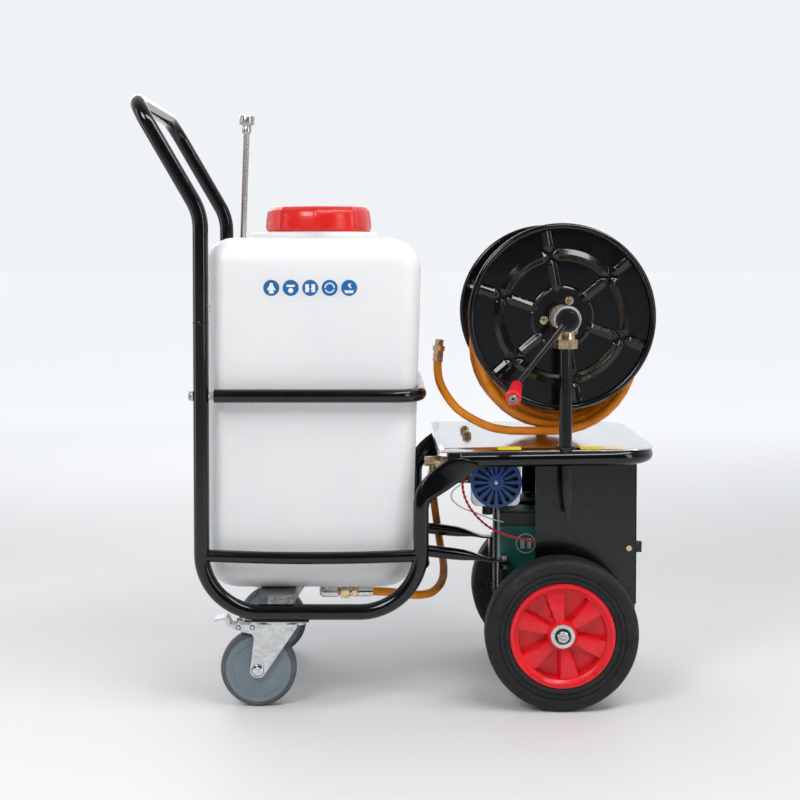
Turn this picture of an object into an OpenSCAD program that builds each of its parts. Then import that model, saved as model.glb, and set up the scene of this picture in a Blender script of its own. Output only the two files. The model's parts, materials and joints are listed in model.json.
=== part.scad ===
/* [Frame] */
// Radius of the main frame tubes
tube_r = 12.7; // [10:0.1:14]
// Wall of the frame tubes
tube_wall = 1.6; // [1:0.1:2.5]
// Distance of the side frames from the middle plane
frame_y = 210; // [205:1:214]
// Height of the bottom run of the side frames
low_z = 165; // [160:1:170]
// Front-to-back place of the rear uprights
rear_x = -291; // [-296:1:-291]
// Front-to-back place of the short front uprights
front_x = 63; // [60:1:66]
// Height of the joint between frame and handle
joint_z = 633; // [600:1:660]

/* [Handle] */
// Lean of the handle legs from upright, in degrees
lean = 30; // [30:7.5:37.5]
// Height of the push bar
bar_z = 990; // [960:1:1010]
// Height where the handle legs start to lean
lean_z = 809; // [780:1:830]

/* [Tank] */
// Height of the tank bottom
tank_z0 = 194; // [193:1:196]
// Height of the tank top
tank_z1 = 770; // [740:1:790]
// Rear face of the tank
tank_x0 = -286; // [-286:1:-270]
// Front face of the tank at its top
tank_x1 = 64; // [58:1:65]
// Front face of the tank at its bottom
tank_foot_x = 50; // [46:1:52]
// Half the width of the tank
tank_half = 190; // [180:1:190]
// Wall of the tank
tank_wall = 5; // [4:1:7]
// Radius of the lid
lid_r = 90; // [88:1:94]

/* [Wheels] */
// Radius of the front wheels
wheel_r = 125; // [120:1:128]
// Width of the front tyres
wheel_w = 56; // [50:1:58]
// Distance of the front wheels from the middle plane
wheel_y = 184; // [182:1:184]
// Radius of the caster wheels
caster_r = 62.5; // [60:0.5:63]
// Distance of the casters from the middle plane
caster_y = 162; // [158:1:164]

/* [Reel] */
// Radius of the reel flanges
flange_r = 156; // [140:1:160]
// Distance of the flanges from the middle plane
flange_y = 131; // [125:1:133]
// Radius of the drum
drum_r = 49; // [40:1:49]
// Length of the crank
crank_len = 133; // [110:1:140]

/* [Hose] */
// Radius of the hose
hose_r = 7; // [5:0.5:7]

/* [Hidden] */
$fn = 48;
gap = 0.3;
joint_lap = 3;
joint_slip = 0.15;

// Far and near extents that set the middle of the cart on the origin
lance_y = 231;
cap_r = 14.4;
rail_x = 436;
grip_len = 76;
grip_r = 12.5;
grip_tilt = 15;
crank_y = -219;
near_y = crank_y - 4 - grip_len * cos(grip_tilt) - grip_r * sin(grip_tilt);
far_y = lance_y + cap_r;
bar_x = rear_x - (bar_z - lean_z) * tan(lean);
middle_x = (rail_x + bar_x) / 2;
middle_y = (near_y + far_y) / 2;

// Heights shared by several parts
hoop_z = 515.5;
hoop_r = 11;
hoop_bend = 45;
hoop_x = 62;
bar_low_z = 257;
bar_low_r = 10;
brace_z = 245;
brace_end_z = 228;
brace_y = 106;
brace_end_x = 212;
brace_bolt_x = 206;
cross_x = 67;
deck_z = 427.7;
deck_t = 1.5;
rail_y = 195;
rail_z = deck_z - tube_r;
rail_bend = 60;
tray_z = 152;
tray_t = 3;
box_y = 124;
box_x0 = 256;
box_x1 = 423;
sheet = 1.5;
axle_x = 293;
axle_r = 8;
reel_x = 298;
reel_z = 639;
shaft_r = 10;
post_y = 190;
swivel_x = -170;
caster_x = -203;
plate_z = 149;
pedal_x = -235;
pedal_z = 133;
lid_x = -110;
outlet_y = -122;
outlet_z = 179;
motor_x = 192;
motor_z = 360;
door_top = 399;
pin_x = 427.5;
pin_y = 126;
latch_y = -104;
latch_z = 251;

// Centre line of the suction hose from the tank outlet to the pump inlet
suction_route = [[-15, -122, 179], [10, -122, 177], [35, -118, 171], [60, -105, 164],
    [82, -82, 161], [98, -52, 167], [106, -16, 178], [109, 22, 188], [109, 62, 197],
    [107, 98, 208], [104, 121, 228], [100, 130, 256], [96, 132, 284], [94, 132, 308],
    [93, 132, 326]];
// Centre line of the loose end of the spray hose, from the loops to its fitting
tail_route = [[236, -100.5, 446], [225, -99.5, 446], [214, -98, 446.5], [183, -94, 451.5],
    [152.5, -90, 465], [130, -86, 479.5], [116, -82, 494.5], [106, -78, 509.5], [98.5, -74, 525],
    [95, -71, 542], [94.5, -68, 560]];
// Centre lines of the two leads
red_route = [[146, -92, 372], [136, -104, 358], [139, -112, 336], [152, -114, 312],
    [176, -114, 288], [205, -114, 273], [235, -114, 265], [262, -114, 261], [290, -112, 262]];
white_route = [[146, -84, 360], [122, -90, 345], [118, -94, 330], [134, -96, 316],
    [160, -98, 306], [186, -98, 296], [205, -92, 290]];
// Centre line of the delivery line under the deck
delivery_route = [[232, 92, 396], [242, 70, 405], [246, 40, 408], [246, 0, 408],
    [246, -50, 408], [246, -100, 408], [248, -128, 408], [257, -146, 408], [272, -156, 408],
    [291, -160, 408]];

function unit(v) = v / norm(v);
function arc(cx, cy, r, a0, a1, n = 8) =
    [for (i = [0:n]) [cx + r * cos(a0 + (a1 - a0) * i / n), cy + r * sin(a0 + (a1 - a0) * i / n)]];
// Outline of a rectangle with four corner radii, counted from the low corner anticlockwise
function round_box(x0, y0, x1, y1, r) = concat(
    arc(x0 + r[0], y0 + r[0], r[0], 180, 270), arc(x1 - r[1], y0 + r[1], r[1], 270, 360),
    arc(x1 - r[2], y1 - r[2], r[2], 0, 90), arc(x0 + r[3], y1 - r[3], r[3], 90, 180));

// Moves the cart so that its box stands centred on the origin
module place() {
    translate([-middle_x, -middle_y, 0]) children();
}
// Turns +Z to run from p to q, starting at p
module along(p, q) {
    d = q - p;
    translate(p) rotate([0, acos(d.z / norm(d)), atan2(d.y, d.x)]) children();
}
module rod(p, q, r) {
    along(p, q) cylinder(h = norm(q - p), r = r);
}
module ring(r, wall) {
    difference() {
        circle(r);
        if (wall > 0) circle(r - wall);
    }
}
module pipe(p, q, r, wall) {
    along(p, q) linear_extrude(norm(q - p)) ring(r, wall);
}
// One bend at b between the runs a-b and b-c
module elbow(a, b, c, bend, r, wall) {
    u = unit(b - a);
    w = unit(c - b);
    turn = acos(u * w);
    n = unit(w - u * (u * w));
    s = b - u * bend * tan(turn / 2) + n * bend;
    k = cross(-n, u);
    multmatrix([[-n.x, u.x, k.x, s.x], [-n.y, u.y, k.y, s.y], [-n.z, u.z, k.z, s.z], [0, 0, 0, 1]])
        rotate_extrude(angle = turn) translate([bend, 0]) ring(r, wall);
}
// Tube through the given corners, bent at each with its own radius. The straight runs reach
// a little way inside the bends and are a hair slimmer, so that every joint is a clean overlap.
module bent_tube(pts, bends, r, wall) {
    last = len(pts) - 1;
    trims = [for (i = [0:last]) i == 0 || i == last ? 0
        : bends[i - 1] * tan(acos(unit(pts[i] - pts[i - 1]) * unit(pts[i + 1] - pts[i])) / 2) - joint_lap];
    for (i = [0:last - 1]) {
        d = unit(pts[i + 1] - pts[i]);
        pipe(pts[i] + d * trims[i], pts[i + 1] - d * trims[i + 1], r - joint_slip,
            wall > 0 ? wall - 2 * joint_slip : 0);
    }
    for (i = [1:last - 1]) elbow(pts[i - 1], pts[i], pts[i + 1], bends[i - 1], r, wall);
}
// Soft tube swept along a route of points
module sweep(pts, r, sides = 10) {
    n = len(pts);
    dirs = [for (i = [0:n - 1]) unit(pts[min(i + 1, n - 1)] - pts[max(i - 1, 0)])];
    up = [0.31, 0.2, 0.93];
    rings = [for (i = [0:n - 1], j = [0:sides - 1])
        let (a = unit(cross(dirs[i], up)), b = cross(dirs[i], a), t = 360 * j / sides)
        pts[i] + a * r * cos(t) + b * r * sin(t)];
    walls = [for (i = [0:n - 2], j = [0:sides - 1])
        let (k = (j + 1) % sides)
        [i * sides + j, (i + 1) * sides + j, (i + 1) * sides + k, i * sides + k]];
    polyhedron(rings, concat(walls, [[for (j = [0:sides - 1]) j]],
        [[for (j = [sides - 1:-1:0]) (n - 1) * sides + j]]));
}
module hex(p, q, flats) {
    along(p, q) cylinder(h = norm(q - p), r = flats / sqrt(3), $fn = 6);
}
module block(lo, hi) {
    translate(lo) cube(hi - lo);
}

// ---- frame ----
// Flattened and curved upper end of a front upright
module blade(side) {
    y = side * frame_y;
    steps = [[0, 346, tube_r, tube_r], [4, 366, 14, 10], [14, 381, 16.5, 6.5], [30, 391, 18.5, 3.2],
        [52, 400, 19.2, 2.3], [88, 402.5, 8.5, 2.3]];
    for (i = [0:len(steps) - 2]) hull() {
        for (s = [steps[i], steps[i + 1]])
            translate([front_x + s[0], y, s[1]]) rotate([0, min(62, s[0] * 2.6), 0])
                scale([1, s[3] / s[2], 1]) cylinder(h = 0.2, r = s[2], $fn = 28);
    }
}
// Main run of a side frame, also cut from the tubes that are welded to it
module frame_run(y, r, wall) {
    bent_tube([[rear_x, y, joint_z], [rear_x, y, low_z], [front_x, y, low_z], [front_x, y, 346]],
        [95, 100], r, wall);
}
module side_frame(side) {
    y = side * frame_y;
    difference() {
        union() {
            frame_run(y, tube_r, tube_wall);
            color("#15171a") blade(side);
        }
        rod([rear_x - 20, y, hoop_z], [rear_x + 20, y, hoop_z], 4.2);
    }
}
module side_frame_near() { color("#15171a") place() side_frame(-1); }
module side_frame_far() { color("#15171a") place() side_frame(1); }
module push_handle() {
    y = frame_y;
    color("#15171a") place() difference() {
        bent_tube([[rear_x, -y, joint_z + gap], [rear_x, -y, lean_z], [bar_x, -y, bar_z],
            [bar_x, y, bar_z], [rear_x, y, lean_z], [rear_x, y, joint_z + gap]],
            [90, 75, 75, 90], tube_r, tube_wall);
        for (s = [-1, 1]) rod([rear_x, s * y, 657], [rear_x + 20, s * y, 657], 3.1);
    }
}
module handle_spigots() {
    r = tube_r - tube_wall - 0.1;
    color("dimgray") place() for (s = [-1, 1]) difference() {
        pipe([rear_x, s * frame_y, joint_z - 40], [rear_x, s * frame_y, joint_z + 42], r, 2);
        rod([rear_x, s * frame_y, 657], [rear_x + 20, s * frame_y, 657], 3.1);
    }
}
module hoop_path(r, wall) {
    bent_tube([[-269, -frame_y, hoop_z], [hoop_x, -frame_y, hoop_z], [hoop_x, frame_y, hoop_z],
        [-269, frame_y, hoop_z]], [hoop_bend, hoop_bend], r, wall);
}
module upper_hoop() {
    color("#15171a") place() {
        hoop_path(hoop_r, 1.5);
        for (s = [-1, 1]) pipe([-271, s * frame_y, hoop_z], [-269, s * frame_y, hoop_z], hoop_r, hoop_r - 4.1);
    }
}
module lower_bar(side) {
    y = side * frame_y;
    difference() {
        rod([rear_x + 5, y, bar_low_z], [front_x - 5, y, bar_low_z], bar_low_r);
        frame_run(y, tube_r + joint_slip, 0);
    }
}
module lower_bar_near() { color("#15171a") place() lower_bar(-1); }
module lower_bar_far() { color("#15171a") place() lower_bar(1); }
module tank_rest_bar() {
    top = tank_z0 - gap;
    color("#8d8a82") place() difference() {
        block([-199, -frame_y, low_z + tube_r], [-141, frame_y, top]);
        block([-197, -frame_y - 1, low_z], [-143, frame_y + 1, top - 2]);
    }
}
module caster_brackets() {
    color("#15171a") place() for (s = [-1, 1]) difference() {
        translate([0, s * caster_y, 0]) block([-222, -53, plate_z + gap], [-118, 53, 152]);
        for (x = [-208, -132], y = [132, 192]) rod([x, s * y, 140], [x, s * y, 156], 4.2);
    }
}
module brace_cross_tube() {
    color("#15171a") place() difference() {
        pipe([cross_x, -frame_y, brace_z], [cross_x, frame_y, brace_z], 10, 1.5);
        for (s = [-1, 1]) frame_run(s * frame_y, tube_r + joint_slip, 0);
    }
}
// Each brace ends in a flat that is bolted down on the tray's lug
module braces() {
    flat_x = brace_end_x - 32;
    color("#15171a") place() for (s = [-1, 1]) difference() {
        union() {
            rod([cross_x, s * brace_y, brace_z], [flat_x - 30, s * brace_y, brace_end_z + 5], 10);
            intersection() {
                translate([0, s * brace_y + 20, 0]) rotate([90, 0, 0]) linear_extrude(40)
                    polygon([[flat_x - 42, brace_end_z - 1], [flat_x, brace_end_z - 2],
                        [flat_x + 10, brace_end_z - 2], [flat_x + 10, brace_end_z + 2],
                        [flat_x, brace_end_z + 2], [flat_x - 42, brace_end_z + 12]]);
                translate([0, s * brace_y, 150]) linear_extrude(150)
                    polygon([[flat_x - 43, -6.5], [flat_x - 1, -14], [flat_x + 9, -14],
                        [flat_x + 9, 14], [flat_x - 1, 14], [flat_x - 43, 6.5]]);
            }
            block([flat_x + 5, s * brace_y - 14, brace_end_z - 2], [brace_end_x, s * brace_y + 14, brace_end_z + 2]);
        }
        rod([cross_x, -frame_y, brace_z], [cross_x, frame_y, brace_z], 10.1);
        rod([brace_bolt_x, s * brace_y, 200], [brace_bolt_x, s * brace_y, 250], 4.2);
    }
}
// Handle screws, hoop bolts and brace bolts, one of each kind per side
module frame_bolts() {
    color("silver") place() for (s = [-1, 1]) {
        translate([rear_x, s * frame_y, 657]) {
            rod([6, 0, 0], [tube_r + 1, 0, 0], 3);
            rod([tube_r - 0.4, 0, 0], [tube_r + 3, 0, 0], 5.2);
        }
        translate([0, s * frame_y, hoop_z]) {
            rod([-306, 0, 0], [-258, 0, 0], 4);
            hex([-310.8, 0, 0], [-305.5, 0, 0], 13);
            rod([-305.5, 0, 0], [-303.9, 0, 0], 8.5);
            hex([-277.6, 0, 0], [-271.2, 0, 0], 13);
        }
        translate([brace_bolt_x, s * brace_y, brace_end_z]) {
            rod([0, 0, -14], [0, 0, 6], 4);
            hex([0, 0, 2.1], [0, 0, 8], 13);
            hex([0, 0, -14], [0, 0, -6.2], 13);
        }
    }
}
module deck_rail() {
    color("#15171a") place() bent_tube([[93, -rail_y, rail_z], [rail_x, -rail_y, rail_z],
        [rail_x, rail_y, rail_z], [93, rail_y, rail_z]], [rail_bend, rail_bend], tube_r - 0.02, tube_wall);
}
module deck_plate() {
    bolts = [[146, 31], [146, -43]];
    color("#c9ccd0") place() difference() {
        union() {
            translate([0, 0, deck_z]) linear_extrude(deck_t)
                polygon(round_box(91, -rail_y, 445, rail_y, [4, 50, 50, 4]));
            block([91, -rail_y + 14, deck_z - 12], [92.5, rail_y - 14, deck_z + 0.5]);
        }
        for (b = bolts) rod([b.x, b.y, deck_z - 5], [b.x, b.y, deck_z + 5], 4.2);
        rod([305, -160, deck_z - 5], [305, -160, deck_z + 5], 6.2);
    }
}
module pump_bolts() {
    color("#c9a24a") place() for (y = [31, -43]) translate([146, y, deck_z + deck_t]) {
        rod([0, 0, -22], [0, 0, 10], 4);
        rod([0, 0, 0.1], [0, 0, 1.6], 8);
        hex([0, 0, 1.6], [0, 0, 7.5], 13);
    }
}

// ---- box and battery ----
module box_side(side) {
    y0 = side * box_y - (side < 0 ? sheet : 0);
    difference() {
        union() {
            block([box_x0, y0, tray_z + tray_t], [box_x1, y0 + sheet, deck_z - gap]);
            if (side < 0) block([box_x1 - sheet, -box_y, 200], [box_x1, -box_y + 10, 300]);
            if (side > 0) for (z = [196, 335]) difference() {
                union() {
                    block([box_x1 - 8, y0, z], [pin_x, y0 + 3.5, z + 29]);
                    rod([pin_x, pin_y, z], [pin_x, pin_y, z + 29], 4);
                }
                rod([pin_x, pin_y, z - 1], [pin_x, pin_y, z + 30], 2.01);
            }
        }
        rod([412, side * 110, 253], [412, side * 140, 253], 2.6);
    }
}
module box_side_near() { color("#101114") place() box_side(-1); }
module box_side_far() { color("#101114") place() box_side(1); }
module battery_tray() {
    color("#101114") place() difference() {
        union() {
            block([195, -box_y - sheet, tray_z], [box_x1, box_y + sheet, tray_z + tray_t]);
            for (s = [-1, 1]) {
                block([axle_x - 30, s * 140 - 4, 108], [axle_x + 30, s * 140 + 4, tray_z + tray_t]);
                block([axle_x - 30, min(s * 136, s * 110), tray_z], [axle_x + 30, max(s * 136, s * 110), tray_z + tray_t]);
                block([195, s * brace_y - 13, tray_z], [198, s * brace_y + 13, brace_end_z - 2.2]);
                block([195, s * brace_y - 13, brace_end_z - 6], [216, s * brace_y + 13, brace_end_z - 2.2]);
            }
        }
        for (s = [-1, 1]) {
            rod([axle_x, s * 140 - 6, wheel_r], [axle_x, s * 140 + 6, wheel_r], axle_r + 0.02);
            rod([brace_bolt_x, s * brace_y, 215], [brace_bolt_x, s * brace_y, 235], 4.2);
        }
    }
}
module box_door() {
    color("#101114") place() difference() {
        union() {
            block([424, -123, 158], [425.5, 119, door_top]);
            for (z = [165, 265, 365]) {
                block([424, 117, z], [pin_x, pin_y, z + 30]);
                rod([pin_x, pin_y, z], [pin_x, pin_y, z + 30], 4);
            }
        }
        rod([pin_x, pin_y, 150], [pin_x, pin_y, 400], 2.06);
        rod([415, latch_y, latch_z], [430, latch_y, latch_z], 3.06);
    }
}
module door_hinge_pin() {
    color("silver") place() {
        rod([pin_x, pin_y, 163], [pin_x, pin_y, 397], 2);
        rod([pin_x, pin_y, 397], [pin_x, pin_y, 399], 3.4);
    }
}
module door_latch() {
    y = latch_y;
    z = latch_z;
    color("#1b1c1f") place() {
        rod([416, y, z], [430, y, z], 3);
        rod([425.8, y, z], [431, y, z], 10);
        block([430, y - 3, z - 9], [437, y + 3, z + 9]);
        block([418, y - 4, z - 4], [421, y + 4, z + 16]);
    }
}
module box_bolts() {
    color("#c9a24a") place() for (s = [-1, 1]) {
        y = s * (box_y + sheet);
        rod([412, y - s * 5, 253], [412, y + s * 3, 253], 2.5);
        hex([412, y + s * 0.1, 253], [412, y + s * 5, 253], 9);
        hex([412, y - s * (sheet + 0.1), 253], [412, y - s * 5, 253], 9);
    }
}
module battery() {
    color("#0f5a4c") place() {
        translate([0, 0, tray_z + tray_t + 0.1]) linear_extrude(128)
            polygon(round_box(200, -90.5, 277, 90.5, [5, 5, 5, 5]));
        translate([0, 0, 283]) linear_extrude(26) polygon(round_box(201, -89, 276, 89, [6, 6, 6, 6]));
        for (y = [-70, 70]) translate([262, y, 309]) cylinder(h = 6, r = 7);
    }
}
module battery_strap() {
    color("#202124") place() difference() {
        block([196, -14, tray_z + tray_t + 0.1], [281, 14, 313]);
        block([199.7, -15, tray_z], [277.3, 15, 309.3]);
    }
}
module wiring() {
    color("#b3202a") place() sweep(red_route, 2.4, 8);
    color("#e6e2d8") place() sweep(white_route, 1.6, 8);
}

// ---- wheels ----
module axle() {
    color("silver") place() rod([axle_x, -220, wheel_r], [axle_x, 220, wheel_r], axle_r);
}
module axle_nuts() {
    color("silver") place() for (s = [-1, 1]) translate([axle_x, 0, wheel_r]) difference() {
        union() {
            rod([0, s * 209.4, 0], [0, s * 211.4, 0], 19.4);
            hex([0, s * 211.4, 0], [0, s * 217, 0], 19);
            rod([0, s * 154, 0], [0, s * 156.5, 0], 14);
        }
        rod([0, s * 150, 0], [0, s * 222, 0], axle_r + 0.02);
    }
}
module tyre(side) {
    h = wheel_w / 2;
    translate([axle_x, side * wheel_y, wheel_r]) rotate([90, 0, 0]) difference() {
        rotate_extrude($fn = 96) difference() {
            polygon(concat([[86, -h + 4], [98, -h], [108, -h]], arc(wheel_r - 11, -h + 11, 11, 270, 360, 6),
                arc(wheel_r - 11, h - 11, 11, 0, 90, 6), [[108, h], [98, h], [86, h - 4]]));
            for (s = [-1, 1], r = [94, 101]) translate([r, s * h]) circle(1.6);
        }
    }
}
module tyre_near() { color("#202326") place() tyre(-1); }
module tyre_far() { color("#202326") place() tyre(1); }
// Six flared spokes join the hub to the rim band
module rim(side) {
    translate([axle_x, side * wheel_y, wheel_r]) rotate([90, 0, 0]) difference() {
        union() {
            rotate_extrude() polygon([[74, -26], [86, -26], [86, 26], [74, 26]]);
            rotate_extrude() polygon([[12, -3], [76, -3], [76, 3], [12, 3]]);
            cylinder(h = 50, r = 22, center = true);
            for (k = [0:5]) rotate([0, 0, 40 + 60 * k]) linear_extrude(40, center = true)
                polygon([[18, -6], [75, -15], [75, 15], [18, 6]]);
        }
        cylinder(h = 60, r = axle_r + 0.05, center = true);
    }
}
module rim_near() { color("#d8141c") place() rim(-1); }
module rim_far() { color("#d8141c") place() rim(1); }

// ---- casters ----
module caster_plates() {
    color("#b9bcbf") place() for (s = [-1, 1]) translate([0, s * caster_y, 0]) {
        difference() {
            block([-222, -40, plate_z - 3.5], [-118, 40, plate_z]);
            for (x = [-208, -132], y = [-30, 30]) rod([x, y, 140], [x, y, 156], 4.2);
        }
        for (x = [-208, -132], y = [-30, 30]) {
            rod([x, y, plate_z - 8], [x, y, plate_z + 7], 4);
            hex([x, y, plate_z - 8.6], [x, y, plate_z - 3.7], 12);
            hex([x, y, 152.2], [x, y, 158], 12);
        }
        rod([swivel_x, 0, 140.4], [swivel_x, 0, plate_z - 3], 29);
        rod([swivel_x, 0, 126], [swivel_x, 0, 141], 6);
    }
}
module caster_fork(side) {
    cheek = concat([[-241, 129], [-213, 122], [-209.5, 116], [-216, 58]],
        arc(caster_x, caster_r, 13, 200, 330, 8), [[-139, 133], [-139, 138], [-241, 138]]);
    translate([0, side * caster_y, 0]) difference() {
        union() {
            for (s = [-1, 1]) translate([0, s * 20.5 + 1.5, 0]) rotate([90, 0, 0]) linear_extrude(3) polygon(cheek);
            block([-232, -22, 135.5], [-139, 22, 138]);
            rod([swivel_x, 0, 134], [swivel_x, 0, 140], 24);
            for (x = [pedal_x, -212]) for (s = [-1, 1]) rod([x, s * 21.5, pedal_z], [x, s * 24, pedal_z], 2.6);
            rod([caster_x, -22.5, caster_r], [caster_x, -19, caster_r], 9);
            hex([caster_x, -26.5, caster_r], [caster_x, -22, caster_r], 11);
            hex([caster_x, 22, caster_r], [caster_x, 27.5, caster_r], 11);
            rod([caster_x, -23, caster_r], [caster_x, 23, caster_r], 5);
            rod([pedal_x, -21, pedal_z], [pedal_x, 21, pedal_z], 2);
        }
        rod([swivel_x, 0, 120], [swivel_x, 0, 145], 6.05);
    }
}
module caster_fork_near() { color("#c3c6c9") place() caster_fork(-1); }
module caster_fork_far() { color("#c3c6c9") place() caster_fork(1); }
module brake_pedal(side) {
    outline = [[-229, 126], [-229, 132], [-248, 136], [-252, 146], [-256, 148], [-274, 145],
        [-275, 141], [-258, 143.4], [-254, 133], [-240, 127]];
    translate([0, side * caster_y + 15, 0]) rotate([90, 0, 0]) linear_extrude(30) difference() {
        union() {
            polygon(outline);
            translate([pedal_x, pedal_z]) circle(3.8);
        }
        translate([pedal_x, pedal_z]) circle(2.05);
    }
}
module brake_pedal_near() { color("#c9cbcd") place() brake_pedal(-1); }
module brake_pedal_far() { color("#c9cbcd") place() brake_pedal(1); }
module caster_wheel(side) {
    r = caster_r;
    translate([caster_x, side * caster_y, r]) rotate([90, 0, 0]) rotate_extrude($fn = 96)
        polygon(concat([[5.05, -17], [14, -17], [15, -12], [40, -12], [41, -14], [44, -14], [45, -12], [52, -14]],
            arc(r - 5, -11, 5, 270, 360, 5), arc(r - 5, 11, 5, 0, 90, 5),
            [[52, 14], [45, 12], [44, 14], [41, 14], [40, 12], [15, 12], [14, 17], [5.05, 17]]));
}
module caster_wheel_near() { color("#6c757d") place() caster_wheel(-1); }
module caster_wheel_far() { color("#6c757d") place() caster_wheel(1); }

// ---- tank ----
// Rounded body with a front face that leans out upwards, shrunk by the inset
module tank_body(inset) {
    x0 = tank_x0 + inset;
    x1 = tank_x1 - inset;
    foot_x = tank_foot_x - inset;
    y = tank_half - inset;
    z0 = tank_z0 + inset;
    z1 = tank_z1 - inset;
    intersection() {
        translate([0, 0, z0]) linear_extrude(z1 - z0)
            polygon(round_box(x0, -y, x1, y, [33, 33, 33, 33] - [1, 1, 1, 1] * inset));
        translate([0, y, 0]) rotate([90, 0, 0]) linear_extrude(2 * y)
            polygon(concat(arc(x0 + 42 - inset, z0 + 42 - inset, 42 - inset, 180, 270),
                arc(foot_x - 46 + inset, z0 + 46 - inset, 46 - inset, 270, 360),
                arc(x1 - 52 + inset, z1 - 52 + inset, 52 - inset, 0, 90),
                arc(x0 + 42 - inset, z1 - 42 + inset, 42 - inset, 90, 180)));
        translate([x0, 0, 0]) rotate([90, 0, 90]) linear_extrude(x1 - x0)
            polygon(round_box(-y, z0, y, z1, [38, 38, 42, 42] - [1, 1, 1, 1] * inset));
    }
}
module tank() {
    color("#f2f3f4") place() difference() {
        union() {
            tank_body(0);
            translate([lid_x - 10, 0, tank_z1 - 6]) cylinder(h = 15.5, r = 106, $fn = 96);
            translate([lid_x, 0, tank_z1]) cylinder(h = 42, r = 83, $fn = 96);
            rod([lid_x - 2, outlet_y, tank_z0 - 5], [lid_x - 2, outlet_y, tank_z0 + 2], 13);
        }
        difference() {
            tank_body(tank_wall);
            hoop_path(hoop_r + 0.5 + tank_wall, 0);
        }
        translate([lid_x, 0, tank_z1 - 30]) cylinder(h = 80, r = 76, $fn = 96);
        hoop_path(hoop_r + 0.5, 0);
        rod([lid_x - 2, outlet_y, tank_z0 - 10], [lid_x - 2, outlet_y, tank_z0 + 10], 7);
    }
}
module lid() {
    color("#e0242b") place() translate([lid_x, 0, 781]) difference() {
        union() {
            cylinder(h = 43, r = lid_r - 2, $fn = 96);
            for (k = [0:23]) rotate([0, 0, 15 * k]) translate([lid_r - 3, -4, 2]) cube([3, 8, 36]);
        }
        translate([0, 0, -1]) cylinder(h = 36.5, r = 84, $fn = 96);
    }
}
module lid_seal() {
    color("#3a3d40") place() translate([lid_x, 0, 812.2]) linear_extrude(3) difference() {
        circle(82, $fn = 96);
        circle(76, $fn = 96);
    }
}
module outlet_fittings() {
    y = outlet_y;
    z = outlet_z;
    x = lid_x - 2;
    place() {
        color("#aeb4b6") {
            rod([x, y, tank_z0 + 6], [x, y, z], 6.9);
            translate([x, y, z]) sphere(9.5);
            rod([x, y, z], [-69, y, z], 9.5);
        }
        color("#c9a24a") {
            hex([-69, y, z], [-54, y, z], 26);
            rod([-54, y, z], [-38, y, z], 8.5);
            hex([-49, y, z], [-40, y, z], 20);
        }
        color("#c8cacc") rod([-38, y, z], [-15, y, z], 8.6);
        color("#c9a24a") {
            rod([93, 132, 326], [93, 132, 366], 7);
            hex([93, 132, 326.2], [93, 132, 354], 17);
            rod([84, 132, 366], [119.8, 132, 366], 9);
        }
    }
}
module suction_hose() { color("#f08a12") place() sweep(suction_route, hose_r, 12); }

// ---- pump ----
module pump_motor() {
    color("#1d1f22") place() difference() {
        union() {
            rod([motor_x, -99, motor_z], [motor_x, 78, motor_z], 40);
            block([128, -60, deck_z - 4], [228, 48, deck_z - gap]);
            block([motor_x - 22, -50, motor_z], [motor_x + 22, 38, deck_z - 3]);
        }
        for (y = [31, -43]) rod([146, y, 400], [146, y, 440], 4.2);
    }
}
module fan_cover() {
    color("#1f6fb8") place() translate([motor_x, -99.2, motor_z]) rotate([90, 0, 0]) {
        difference() {
            cylinder(h = 11, r = 43, $fn = 96);
            translate([0, 0, -1]) cylinder(h = 9.5, r = 40.6, $fn = 96);
            for (k = [0:15]) rotate([0, 0, 22.5 * k]) translate([14, -1.8, 5]) cube([23, 3.6, 10]);
        }
        translate([0, 0, 10]) cylinder(h = 3.5, r = 4);
    }
}
module pump_head() {
    color("#26282b") place() {
        block([120, 78.2, 330], [236, 158, 396]);
        rod([180, -70, 300], [180, -70, 322], 9);
        rod([motor_x, 158, motor_z], [motor_x, 168, motor_z], 26);
    }
}
module delivery_line() {
    place() {
        color("#151617") sweep(delivery_route, 6, 10);
        color("#1b1c1f") {
            rod([305, -160, 398], [305, -160, deck_z - gap], 13);
            rod([305, -160, 362], [305, -160, 398], 9);
            intersection() {
                rod([305, -160, 308], [305, -160, 363], 9);
                translate([0, -150, 0]) rotate([90, 0, 0]) linear_extrude(20)
                    polygon([[296, 363], [303, 308], [307, 308], [314, 363]]);
            }
        }
    }
}

// ---- reel ----
module reel_posts() {
    color("#15171a") place() for (s = [-1, 1]) {
        pipe([reel_x, s * post_y, deck_z + deck_t + 0.1], [reel_x, s * post_y, 591], 10.65, 2);
        pipe([reel_x, s * post_y, deck_z + deck_t + 0.1], [reel_x, s * post_y, deck_z + 4], 16, 6);
    }
}
module reel_bearings() {
    color("#c9a24a") place() for (s = [-1, 1]) difference() {
        union() {
            rod([reel_x, s * 174, reel_z], [reel_x, s * 207, reel_z], 17);
            hex([reel_x, s * post_y, 591], [reel_x, s * post_y, 606], 33);
            rod([reel_x, s * post_y, 600], [reel_x, s * post_y, 630], 13.5);
        }
        rod([reel_x, s * 170, reel_z], [reel_x, s * 212, reel_z], shaft_r + 0.05);
    }
}
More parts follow.
